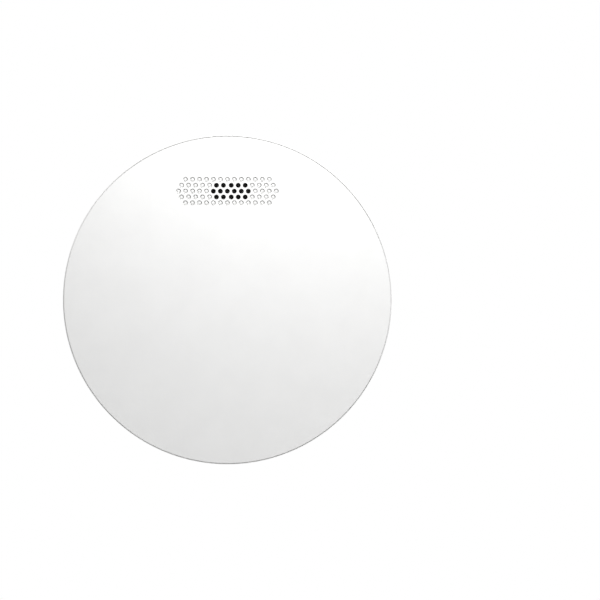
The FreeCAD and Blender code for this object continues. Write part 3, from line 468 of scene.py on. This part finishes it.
CERAMIC = metal("silvered_ceramic", (0.72, 0.70, 0.66), (0.56, 0.54, 0.50), (0.4, 0.55))
SLEEVE = moulded("shrink_sleeve", (0.045, 0.085, 0.22), (0.035, 0.065, 0.18), (0.18, 0.28), 0.6, 0.006, 6.0)
LAMP = clear_epoxy("red_lamp", (0.55, 0.03, 0.02), (0.42, 0.02, 0.015))
LENS = clear_epoxy("infrared_epoxy", (0.05, 0.045, 0.09), (0.03, 0.028, 0.06))
FERRITE = moulded("ferrite", (0.07, 0.07, 0.075), (0.045, 0.045, 0.048), (0.45, 0.6), 0.15, 0.01, 1.5)
CLOTH = woven("acoustic_cloth", (0.010, 0.010, 0.011), (0.003, 0.003, 0.003))
FOIL = moulded("label_foil", (0.78, 0.78, 0.78), (0.72, 0.72, 0.73), (0.2, 0.3), 0.4, 0.003, 4.0)
BOARD = solder_mask("solder_mask")

NODE_MATERIALS = {
    "mounting_plate": WHITE_BACK, "rubber_feet": RUBBER, "base_housing": WHITE, "rating_label": FOIL,
    "test_switch_body": CHIP, "test_switch_plunger": GREY, "activation_lever": WHITE_BACK,
    "activation_switch": CHIP, "circuit_board": BOARD, "microcontroller": CHIP, "driver_chip": CHIP,
    "capacitors": CAN, "chip_parts": CERAMIC, "boost_coil": FERRITE, "status_led": LAMP,
    "chamber_base": CHAMBER_BLACK_AND_SHADE, "chamber_cap": CHAMBER_BLACK_AND_SHADE, "insect_screen": CHAMBER_BLACK_AND_SHADE, "ir_emitter": LENS,
    "photodiode": LENS, "photodiode_shield": NICKEL, "sounder_housing": BLACK, "piezo_disc": BRASS,
    "piezo_ceramic": CERAMIC, "piezo_clamp": BLACK, "sounder_contacts": BRASS, "battery_cell": SLEEVE,
    "battery_holder": GREY, "battery_tabs": NICKEL, "inner_tray": BLACK, "tray_screws": STEEL,
    "front_cover": WHITE, "smoke_guide": CHAMBER_BLACK_AND_SHADE, "grille_cloth": CLOTH, "cover_springs": STEEL,
}
for node_name, material in NODE_MATERIALS.items():
    data = frame["nodes"][node_name].data
    data.materials.clear()
    data.materials.append(material)


# ---------------------------------------------------------------- front cover
GRILLE_Y = 36.13
GRILLE_PITCH = 2.32
GRILLE_MIDDLE_PITCH = 2.6
GRILLE_ROW_PITCH = 1.95
GRILLE_ROWS = (13, 14, 15, 14, 13)
GRILLE_OPEN = ((), range(5, 10), range(5, 11), range(5, 10), ())
HOLE_SEGMENTS = 32
HOLE_RADIUS = 0.82
HOLE_LIP = 0.02                # rounding of the mouth of each hole
LIP_STEPS = 4
DIMPLE_RADIUS = 0.84           # and (radius, depth) of a dimple's floor, from its edge to its middle
DIMPLE_PROFILE = ((0.82, 0.62), (0.66, 0.74), (0.5, 0.4), (0.36, 0.14), (0.2, 0.06), (0.0, 0.04))


def grille_points():
    """(x, y, is_open) of every hole and dimple."""
    points = []
    for row, count in enumerate(GRILLE_ROWS):
        y = GRILLE_Y + (2 - row) * GRILLE_ROW_PITCH
        for index in range(count):
            x = (index - (count - 1) / 2) * GRILLE_PITCH
            if count % 2 == 0:
                x += math.copysign((GRILLE_MIDDLE_PITCH - GRILLE_PITCH) / 2, x)
            points.append((x, y, index in GRILLE_OPEN[row]))
    return points


def grille_cutter():
    """All holes and dimples at once; a dimple is a blind hole whose floor swells toward the surface."""
    mesh = bmesh.new()
    for x, y, is_open in grille_points():
        top = dome_height(math.hypot(x, y))
        radius = HOLE_RADIUS if is_open else DIMPLE_RADIUS
        above = top + 0.5
        below = top - WALL - 1.0
        outline = [(0, above), (radius + HOLE_LIP * 1.6, above), (radius + HOLE_LIP * 1.3, top + 0.02)]
        for step in range(1, LIP_STEPS + 1):
            turn = math.radians(90 * step / LIP_STEPS)
            lip_reach = radius + HOLE_LIP * (1 - math.sin(turn))
            outline.append((lip_reach, top - HOLE_LIP * (1 - math.cos(turn))))
        if is_open:
            outline += [(radius, below), (0, below)]
        else:
            outline += [(reach, top - depth) for reach, depth in DIMPLE_PROFILE]
        revolve(mesh, outline, HOLE_SEGMENTS, (x, y), closed=False)
    return to_object("grille_cutter", mesh)


MARK_Y = (-0.9, 1.5)           # shallow alignment marks at the side of the base and of the cover
MARK_DEPTH = 0.15
BASE_MARK = (12.5, 13.9)
COVER_MARK = (17.6, 18.5)


def alignment_mark(heights):
    """Cutter for a shallow mark in the side of the case."""
    mesh = bmesh.new()
    block(mesh, (CASE_RADIUS - MARK_DEPTH, CASE_RADIUS + 1), MARK_Y, heights)
    return to_object("mark_cutter", mesh)


RIM_LINE = (54.30, 54.56)      # fine shadow line pressed around the edge of the dome
RIM_LINE_DEPTH = 0.5
RIM_LINE_TAPER = 0.06
RIM_ROUND = 0.1
DOME_RINGS = 26


def cover_shell():
    """Domed cover as one turned outline: skirt, shadow line, dome and the same again inside."""
    inner_edge = DOME_EDGE - WALL
    inner_dome = inner_edge * 0.97
    start, end = RIM_LINE
    floor = dome_height((start + end) / 2) - RIM_LINE_DEPTH
    corners = [
        (start, dome_height(start), 0), (start + RIM_LINE_TAPER, floor, 0),
        (end - RIM_LINE_TAPER, floor, 0), (end, dome_height(end), 0),
        (DOME_EDGE, COVER_EDGE, RIM_ROUND), (CASE_RADIUS, COVER_LIP, EDGE_ROUND),
        (CASE_RADIUS - WALL, COVER_LIP, EDGE_ROUND * 0.6),
        (inner_edge, dome_height(inner_edge, WALL), EDGE_ROUND),
        (inner_dome, dome_height(inner_dome, WALL), 0)]
    outline = list(map(tuple, softened(corners, 5, 0.01)))
    for step in range(1, DOME_RINGS + 1):
        reach = inner_dome * (1 - step / DOME_RINGS)
        outline.append((reach, dome_height(reach, WALL)))
    for step in range(DOME_RINGS):
        reach = start * step / DOME_RINGS
        outline.append((reach, dome_height(reach)))
    mesh = bmesh.new()
    revolve(mesh, outline)
    return to_object("cover_shell", mesh)


RIB_Y = 39.4
RIB_THICK = 0.8
RIB_INNER = 26.5
RIB_OUTER = 34.0
RIB_LOW = COVER_LOW.z
RIB_WEB_REACH = 2.4
WINDOW_X = (28.2, 31.3)        # window of each snap rib that its catch sits in
WINDOW_H = (9.3, 12.0)
LOCATOR_X = (18.0, 25.0)
LOCATOR_Y = (-45.35, -44.85)
LOCATOR_LOW = 13.4
SPRING_REACH = 47.8
SPRING_ANGLES = (-90.0, 30.7, 149.3)
SPRING_SEAT = 21.0             # face of the cover that the springs push on
SPRING_RADIUS = 2.0            # centre line of the wire
SPRING_WIRE = 0.5
SPRING_BOSS_RADIUS = SPRING_RADIUS + 0.9
SPRING_NUB_RADIUS = SPRING_RADIUS - 0.5
BOSS_TOP = COVER_EDGE - 1
LINER_TOP = 18.3
STAKE_ANGLES = (0.0, 62.0, 118.0, 180.0, 243.0, 297.0)
STAKE_REACH = 46.0
STAKE_RADIUS = 1.1
STAKE_BOSS_RADIUS = 2.2
PRESS_POST_RADIUS = 1.7
PRESS_FIN_HALF = (3.4, 0.5)


def window_frame(mesh, x_range, y_range, low, high):
    """Snap rib as one closed plate with a rectangular window through it."""
    outer = [(x_range[0], low), (x_range[1], low), (x_range[1], high), (x_range[0], high)]
    inner = [(WINDOW_X[0], WINDOW_H[0]), (WINDOW_X[1], WINDOW_H[0]),
             (WINDOW_X[1], WINDOW_H[1]), (WINDOW_X[0], WINDOW_H[1])]
    sheets = []
    for y in y_range:
        sheets.append([[mesh.verts.new((x, y, h)) for x, h in loop] for loop in (outer, inner)])
    for corner in range(4):
        after = (corner + 1) % 4
        for loops in sheets:
            mesh.faces.new((loops[0][corner], loops[0][after], loops[1][after], loops[1][corner]))
        for loop in (0, 1):
            near, far = sheets[0][loop], sheets[1][loop]
            mesh.faces.new((near[corner], near[after], far[after], far[corner]))


def guide_ribs():
    """Four snap ribs with their webs, each with the window of its catch, and a short locating rib."""
    mesh = bmesh.new()
    half = RIB_THICK / 2
    for up in (-1, 1):
        thick = (up * RIB_Y - half, up * RIB_Y + half)
        window_frame(mesh, (RIB_INNER, RIB_OUTER), thick, RIB_LOW, COVER_EDGE)
    mirrored = mesh.copy()
    bmesh.ops.scale(mirrored, verts=mirrored.verts, vec=(-1, 1, 1))
    other = bpy.data.meshes.new("mirrored_ribs")
    mirrored.to_mesh(other)
    mirrored.free()
    mesh.from_mesh(other)
    bpy.data.meshes.remove(other)
    for side in (-1, 1):
        web_x = (side * (RIB_OUTER - 1), side * (RIB_OUTER + RIB_WEB_REACH))
        for up in (-1, 1):
            web_y = (up * (RIB_Y - half), up * (RIB_Y + half))
            block(mesh, web_x, web_y, (COVER_LIP + 1, BOSS_TOP), 0.08)
    block(mesh, LOCATOR_X, LOCATOR_Y, (LOCATOR_LOW, COVER_EDGE), 0.08)
    return to_object("cover_guide_ribs", mesh)


def cover_bosses():
    """Spring bosses, liner stakes and the post that works the test switch."""
    mesh = bmesh.new()
    for angle in SPRING_ANGLES:
        point = polar(SPRING_REACH, angle)
        peg(mesh, SPRING_BOSS_RADIUS, SPRING_SEAT, BOSS_TOP, point)
        peg(mesh, SPRING_NUB_RADIUS, SPRING_SEAT - 1, SPRING_SEAT + 1, point)
    for angle in STAKE_ANGLES:
        point = polar(STAKE_REACH, angle)
        peg(mesh, STAKE_BOSS_RADIUS, LINER_TOP, BOSS_TOP, point)
        peg(mesh, STAKE_RADIUS, LINER_TOP - 1, LINER_TOP + 1, point)
    x, y, _ = face_centre("test_switch_plunger")
    plunger_top = face_box("test_switch_plunger")[1].z
    peg(mesh, PRESS_POST_RADIUS, plunger_top + 0.05, COVER_EDGE, (x, y))
    long_half, thin_half = PRESS_FIN_HALF
    for turn in (0, 90):
        block(mesh, (x - long_half, x + long_half), (y - thin_half, y + thin_half),
              (LINER_TOP + 1, COVER_EDGE), 0.08, turn, (x, y))
    return to_object("cover_bosses", mesh)


shell = cover_shell()
carve(shell, grille_cutter())
carve(shell, alignment_mark(COVER_MARK))
finish_piece(shell, "cover", WHITE, ("front_cover",), 32, dome=True)
finish_piece(guide_ribs(), "cover", WHITE)
finish_piece(cover_bosses(), "cover", WHITE)


# ---------------------------------------------------------------- base housing
HOOK_ANGLES = (90.0, 210.0, 330.0)
HOOK_OUTER = 40.5
HOOK_POST = 2.0                # radial thickness of a hook's post
HOOK_LIP = 2.4                 # how far its lip reaches inward
HOOK_HALF_ANGLE = 5.5
HOOK_PLAY = 0.3
HOOK_PLAY_ANGLE = 0.7
PLATE_PLAY = 0.4
TWIST = 16.0
TWIST_STEPS = 12
PIN_RADIUS = 1.25
PIN_REACH = 12.0
PIN_WINDOW_X = (-5.6, 1.8)
PIN_WINDOW_Y = (-13.9, -9.9)
FLOOR_RINGS = (0, 12, 24, 36, 42, 48)


def base_shell():
    """Rear case with its bevel, and the recess of the plate, as one turned outline."""
    bevel_radius = CASE_RADIUS - BASE_DRAFT
    recess = PLATE_RADIUS + PLATE_PLAY
    corners = [
        (recess, FLOOR_LOW, 0), (recess, BACK, 0.15), (bevel_radius - CHAMFER, BACK, EDGE_ROUND),
        (bevel_radius, BACK + CHAMFER, EDGE_ROUND), (CASE_RADIUS, BASE_TOP, EDGE_ROUND),
        (CASE_RADIUS - WALL, BASE_TOP, EDGE_ROUND * 0.6), (bevel_radius - WALL, FLOOR_HIGH, 0.4)]
    outline = list(map(tuple, softened(corners, 5)))
    outline += [(reach, FLOOR_HIGH) for reach in reversed(FLOOR_RINGS)]
    outline += [(reach, FLOOR_LOW) for reach in FLOOR_RINGS]
    mesh = bmesh.new()
    revolve(mesh, outline)
    return to_object("base_shell", mesh)


def base_windows():
    """Keyhole slots for the hooks, and the window that the pin travels in."""
    mesh = bmesh.new()
    spread = HOOK_HALF_ANGLE + HOOK_PLAY_ANGLE
    outer = HOOK_OUTER + HOOK_PLAY
    inner = HOOK_OUTER - HOOK_POST - HOOK_PLAY
    for angle in HOOK_ANGLES:
        free = angle - TWIST
        outline = arc(outer, free - spread, angle + spread, 30)
        outline += arc(inner, angle + spread, free + spread, TWIST_STEPS)
        outline += arc(inner - HOOK_LIP, free + spread, free - spread, TWIST_STEPS)
        prism(mesh, outline, FLOOR_LOW - 1, FLOOR_HIGH + 1)
    left, right = PIN_WINDOW_X
    bottom, top = PIN_WINDOW_Y
    corners = [(left, bottom), (right, bottom), (right, top), (left, top)]
    prism(mesh, corners, FLOOR_LOW - 1, FLOOR_HIGH + 1)
    return to_object("base_windows", mesh)


CATCH_X = (27.5, 31.4)
CATCH_NEAR = RIB_Y + RIB_THICK / 2 + 0.4
CATCH_THICK = 2.3
CATCH_HIGH = 12.2
NOSE_X = (28.6, 30.9)
NOSE_OVER_RIB = 0.9
NOSE_H = (WINDOW_H[0] + 0.1, WINDOW_H[0] + 1.7)
GUSSET_X = (26.6, 27.8)
GUSSET_DEPTH = 3.1
GUSSET_TOP_DEPTH = 1.1
GUSSET_SHOULDER = 13.6
GUSSET_HIGH = 16.4


def catch_posts():
    """Posts with noses that hold the guide ribs; a slanted gusset steadies each of the lower pair."""
    mesh = bmesh.new()
    foot = FLOOR_HIGH - ROOT
    far = -CATCH_NEAR - GUSSET_DEPTH
    outline = [(-CATCH_NEAR, foot), (far, foot), (far, GUSSET_SHOULDER),
               (-CATCH_NEAR - GUSSET_TOP_DEPTH, GUSSET_HIGH), (-CATCH_NEAR, GUSSET_HIGH)]
    for side in (-1, 1):
        post_x = (side * CATCH_X[0], side * CATCH_X[1])
        nose_x = (side * NOSE_X[0], side * NOSE_X[1])
        for up in (-1, 1):
            post_y = (up * CATCH_NEAR, up * (CATCH_NEAR + CATCH_THICK))
            block(mesh, post_x, post_y, (foot, CATCH_HIGH), 0.12)
            nose_y = (up * (RIB_Y - NOSE_OVER_RIB), up * (CATCH_NEAR + ROOT))
            block(mesh, nose_x, nose_y, NOSE_H, 0.08)
        sheets = [[mesh.verts.new((side * x, y, h)) for y, h in outline] for x in GUSSET_X]
        for sheet in sheets:
            mesh.faces.new(sheet)
        for corner in range(len(outline)):
            after = (corner + 1) % len(outline)
            mesh.faces.new((sheets[0][corner], sheets[0][after], sheets[1][after], sheets[1][corner]))
    return to_object("base_catches", mesh)


SCREW_ANGLES = (15.0, 165.0, 222.0, 318.0)
SCREW_REACH = 44.6
PILLAR_RADIUS = 3.3
SCREW_BORE = 1.25
EDGE_RIB = (50.2, 53.0)
EDGE_RIB_HALF = 0.5
EDGE_RIB_HIGH = 11.5
EDGE_RIB_STEP = 30
RAIL_X = (-7.5, 3.4)
RAIL_PLAY = 0.2
LOWER_RAIL_THICK = 1.4
UPPER_RAIL_THICK = 1.1
RAIL_HIGH = FLOOR_HIGH + 1.9


def base_fittings():
    """Screw pillars, the two rails of the activation lever and the short ribs along the wall."""
    mesh = bmesh.new()
    foot = FLOOR_HIGH - ROOT
    board_low = face_box("circuit_board")[0].z
    pillar = softened([(SCREW_BORE, foot, 0), (PILLAR_RADIUS, foot, 0), (PILLAR_RADIUS, board_low, 0.15),
                       (SCREW_BORE, board_low, 0.15)], 3, 0.03)
    for angle in SCREW_ANGLES:
        revolve(mesh, pillar, 48, polar(SCREW_REACH, angle))
    lever_low, lever_high = face_box("activation_lever")
    lower_rail = lever_low.y - RAIL_PLAY
    upper_rail = lever_high.y + RAIL_PLAY
    block(mesh, RAIL_X, (lower_rail - LOWER_RAIL_THICK, lower_rail), (foot, RAIL_HIGH), 0.1)
    block(mesh, RAIL_X, (upper_rail, upper_rail + UPPER_RAIL_THICK), (foot, RAIL_HIGH), 0.1)
    for angle in range(0, 360, EDGE_RIB_STEP):
        if angle % 180 != 90:
            block(mesh, EDGE_RIB, (-EDGE_RIB_HALF, EDGE_RIB_HALF), (foot, EDGE_RIB_HIGH), 0.08, angle)
    return to_object("base_fittings", mesh)


base = base_shell()
carve(base, base_windows())
carve(base, alignment_mark(BASE_MARK))
finish_piece(base, "detector", WHITE, ("base_housing",))
finish_piece(catch_posts(), "detector", WHITE)
finish_piece(base_fittings(), "detector", WHITE)


# ---------------------------------------------------------------- mounting plate and feet
POCKET_RINGS = ((18.0, 5.0), (43.0, 21.0))
POCKET_RIB = 1.2
POCKET_DEPTH = 0.9
POCKET_STEP = 30
SLOTS = record["mounts"][0]["dims"]
SLOT_WIDTH = SLOTS["hole_r_mm"] * 2
SLOT_LENGTH = SLOTS["slot_length_mm"]
SLOT_REACH = SLOTS["spacing_x_mm"] / 2
HEAD_WIDTH = 8.6
HEAD_LENGTH = SLOT_LENGTH - SLOT_WIDTH + HEAD_WIDTH
HEAD_DEPTH = 1.1
BOSS_GROWTH = 3.0              # the boss around a screw slot is this much longer and wider than the head
PLATE_RINGS = (0, 12, 24, 36)
PLATE_FLAT = 46
FOOT_RADIUS = 1.45
FOOT_OFFSET = 33.4
FOOT_TOP = PLATE_TOP - 0.7


def plate_disc():
    """Plain plate as one turned outline with softened edges."""
    corners = [(PLATE_FLAT, BACK, 0), (PLATE_RADIUS, BACK, 0.45), (PLATE_RADIUS, PLATE_TOP, 0.2),
               (PLATE_FLAT, PLATE_TOP, 0)]
    outline = list(map(tuple, softened(corners, 4)))
    outline += [(reach, PLATE_TOP) for reach in reversed(PLATE_RINGS)]
    outline += [(reach, BACK) for reach in PLATE_RINGS]
    mesh = bmesh.new()
    revolve(mesh, outline)
    return to_object("plate_disc", mesh)


def pocket_cutter():
    """Coring of the wall side: sectors between radial ribs, kept clear of the screw bosses."""
    mesh = bmesh.new()
    for outer, inner in POCKET_RINGS:
        outer_shift = math.degrees(math.asin(POCKET_RIB / 2 / outer))
        inner_shift = math.degrees(math.asin(POCKET_RIB / 2 / inner))
        for start in range(0, 360, POCKET_STEP):
            end = start + POCKET_STEP
            points = arc(outer, start + outer_shift, end - outer_shift, 8)
            points += arc(inner, end - inner_shift, start + inner_shift, 8)
            prism(mesh, points, BACK - 1, BACK + POCKET_DEPTH)
    pockets = to_object("pocket_cutter", mesh)
    mesh = bmesh.new()
    for side in (-1, 1):
        boss = slot_outline(HEAD_LENGTH + BOSS_GROWTH, HEAD_WIDTH + BOSS_GROWTH, (side * SLOT_REACH, 0))
        prism(mesh, boss, BACK - 2, BACK + 2)
    carve(pockets, to_object("boss_cutter", mesh))
    return pockets


def screw_cutter():
    """Round-ended screw slots with the recess of the heads."""
    mesh = bmesh.new()
    head_low = PLATE_TOP - HEAD_DEPTH
    for side in (-1, 1):
        centre = (side * SLOT_REACH, 0)
        prism(mesh, slot_outline(SLOT_LENGTH, SLOT_WIDTH, centre), BACK - 1, head_low + 0.1)
        prism(mesh, slot_outline(HEAD_LENGTH, HEAD_WIDTH, centre), head_low, PLATE_TOP + 1)
    return to_object("screw_cutter", mesh)


def plate_hooks():
    """Three bayonet hooks and the pin that moves the activation lever."""
    mesh = bmesh.new()
    lip_low = FLOOR_HIGH + 0.1
    lip_thick = 1.2
    post_inner = HOOK_OUTER - HOOK_POST
    for angle in HOOK_ANGLES:
        ends = (angle - HOOK_HALF_ANGLE, angle + HOOK_HALF_ANGLE)
        prism(mesh, sector_outline(HOOK_OUTER, post_inner, *ends), PLATE_TOP, lip_low)
        prism(mesh, sector_outline(HOOK_OUTER, post_inner - HOOK_LIP, *ends), lip_low, lip_low + lip_thick)
    peg(mesh, PIN_RADIUS, PLATE_TOP, FLOOR_HIGH + lip_thick, (0, -PIN_REACH))
    return to_object("plate_hooks", mesh)


def rubber_feet():
    mesh = bmesh.new()
    for x in (-FOOT_OFFSET, FOOT_OFFSET):
        for y in (-FOOT_OFFSET, FOOT_OFFSET):
            peg(mesh, FOOT_RADIUS, 0.0, FOOT_TOP, (x, y), 0.25)
    return to_object("wall_feet", mesh)


plate = plate_disc()
carve(plate, screw_cutter())
carve(plate, pocket_cutter())
finish_piece(plate, "plate", WHITE_BACK, ("mounting_plate",))
finish_piece(plate_hooks(), "plate", WHITE_BACK)
finish_piece(rubber_feet(), "plate", RUBBER, ("rubber_feet",))


# ---------------------------------------------------------------- springs
SPRING_TURNS = 6.5
CLOSED_TURNS = 0.8             # at each end
STEPS_PER_TURN = 36


def coil_spring(name, centre, low, high):
    """Compression spring with closed flat ends, as one swept tube."""
    mesh = bmesh.new()
    steps = int(SPRING_TURNS * STEPS_PER_TURN)
    sides = 12
    rings = []
    for step in range(steps + 1):
        turns = SPRING_TURNS * step / steps
        angle = 360 * turns
        ease = min(max((turns - CLOSED_TURNS) / (SPRING_TURNS - 2 * CLOSED_TURNS), 0.0), 1.0)
        height = low + (high - low) * ease
        x, y = polar(SPRING_RADIUS, angle, centre)
        outward = Vector((math.cos(math.radians(angle)), math.sin(math.radians(angle)), 0))
        ring = []
        for side in range(sides):
            turn = 2 * math.pi * side / sides
            offset = outward * math.cos(turn) + Vector((0, 0, math.sin(turn)))
            ring.append(mesh.verts.new(Vector((x, y, height)) + offset * SPRING_WIRE / 2))
        rings.append(ring)
    for one, two in zip(rings, rings[1:]):
        for side in range(sides):
            after = (side + 1) % sides
            mesh.faces.new((one[side], one[after], two[after], two[side]))
    mesh.faces.new(rings[0])
    mesh.faces.new(rings[-1])
    return to_object(name, mesh)


for number, angle in enumerate(SPRING_ANGLES, 1):
    spring = coil_spring(f"cover_spring_{number}", polar(SPRING_REACH, angle),
                         TRAY_TOP + SPRING_WIRE / 2, SPRING_SEAT - SPRING_WIRE / 2)
    replaced = ("cover_springs",) if number == 1 else ()
    finish_piece(spring, "detector", STEEL, replaced, 60)
    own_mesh(spring)


# ---------------------------------------------------------------- camera
CASE_DIAMETER = 2 * CASE_RADIUS * MM
CAMERA_REACH = 10 * CASE_DIAMETER
FRAME_SHARE = 0.5458           # of the frame's width that the case fills
SIDE_SHIFT = 0.1211            # the case stands left of the middle of the frame
RAISED = 0.0002                # and this much above it
SENSOR = 36.0

camera_data = bpy.data.cameras.new("camera")
camera = bpy.data.objects.new("camera", camera_data)
bpy.context.scene.collection.objects.link(camera)
camera_data.sensor_width = SENSOR
camera_data.lens = SENSOR * CAMERA_REACH / (CASE_DIAMETER / FRAME_SHARE)
camera_data.shift_x = SIDE_SHIFT
camera_data.shift_y = -RAISED
camera.location = (0, -COVER_LIP * MM - CAMERA_REACH, 0)
camera.rotation_euler = (math.radians(90), 0, 0)
bpy.context.scene.camera = camera


# ---------------------------------------------------------------- floor, light and world
STAGE_REACH = 0.45             # metres, like the places and sizes of the lights
STAGE_HEIGHT = -0.17
STAGE_SIDES = 96
SHOWN_SURROUND = 1.0
LIT_SURROUND = 0.37


def studio_floor():
    """Round pale floor under the object, which hangs above it."""
    mesh = bmesh.new()
    for index in range(STAGE_SIDES):
        mesh.verts.new((*polar(STAGE_REACH, 360 * index / STAGE_SIDES), STAGE_HEIGHT))
    mesh.verts.ensure_lookup_table()
    mesh.faces.new(mesh.verts)
    data = bpy.data.meshes.new("studio_floor")
    mesh.to_mesh(data)
    mesh.free()
    floor = bpy.data.objects.new("studio_floor", data)
    bpy.context.scene.collection.objects.link(floor)
    made = Nodes("pale_floor")
    shades = [(0.3, (0.86, 0.86, 0.86)), (0.7, (0.9, 0.9, 0.9))]
    made.to("Base Color", made.ramp(made.noise(60.0, 2.0), shades))
    made.to("Roughness", made.span(made.noise(20.0, 3.0), 0.6, 0.75))
    made.set(Emission_Color=(1, 1, 1, 1), Emission_Strength=0.08)
    data.materials.append(made.material)


def soft_light(name, place, size, power, target=(0, -0.015, 0)):
    """Round area light aimed at the object and hidden from the camera."""
    data = bpy.data.lights.new(name, "AREA")
    data.shape = "DISK"
    data.size = size
    data.energy = power
    lamp = bpy.data.objects.new(name, data)
    bpy.context.scene.collection.objects.link(lamp)
    lamp.location = place
    lamp.visible_camera = False
    lamp.rotation_euler = (Vector(target) - Vector(place)).to_track_quat("-Z", "Y").to_euler()


def studio_world():
    """White surroundings for the eye, dimmer ones for the light."""
    world = bpy.data.worlds.new("studio")
    world.use_nodes = True
    tree = world.node_tree
    shown = tree.nodes["Background"]
    shown.inputs["Color"].default_value = (1, 1, 1, 1)
    shown.inputs["Strength"].default_value = SHOWN_SURROUND
    lit = tree.nodes.new("ShaderNodeBackground")
    lit.inputs["Color"].default_value = (1, 1, 1, 1)
    lit.inputs["Strength"].default_value = LIT_SURROUND
    rays = tree.nodes.new("ShaderNodeLightPath")
    mix = tree.nodes.new("ShaderNodeMixShader")
    tree.links.new(rays.outputs["Is Camera Ray"], mix.inputs["Fac"])
    tree.links.new(lit.outputs["Background"], mix.inputs[1])
    tree.links.new(shown.outputs["Background"], mix.inputs[2])
    tree.links.new(mix.outputs["Shader"], tree.nodes["World Output"].inputs["Surface"])
    bpy.context.scene.world = world


studio_floor()
studio_world()
soft_light("key_light", (0.05, -0.18, 0.2), size=0.14, power=0.66)
soft_light("side_light", (0.95, -0.02, 0.0), size=0.25, power=2.5)
soft_light("back_light", (-0.28, 0.35, 0.55), size=0.35, power=2.4)
bpy.context.scene.view_settings.view_transform = "Standard"
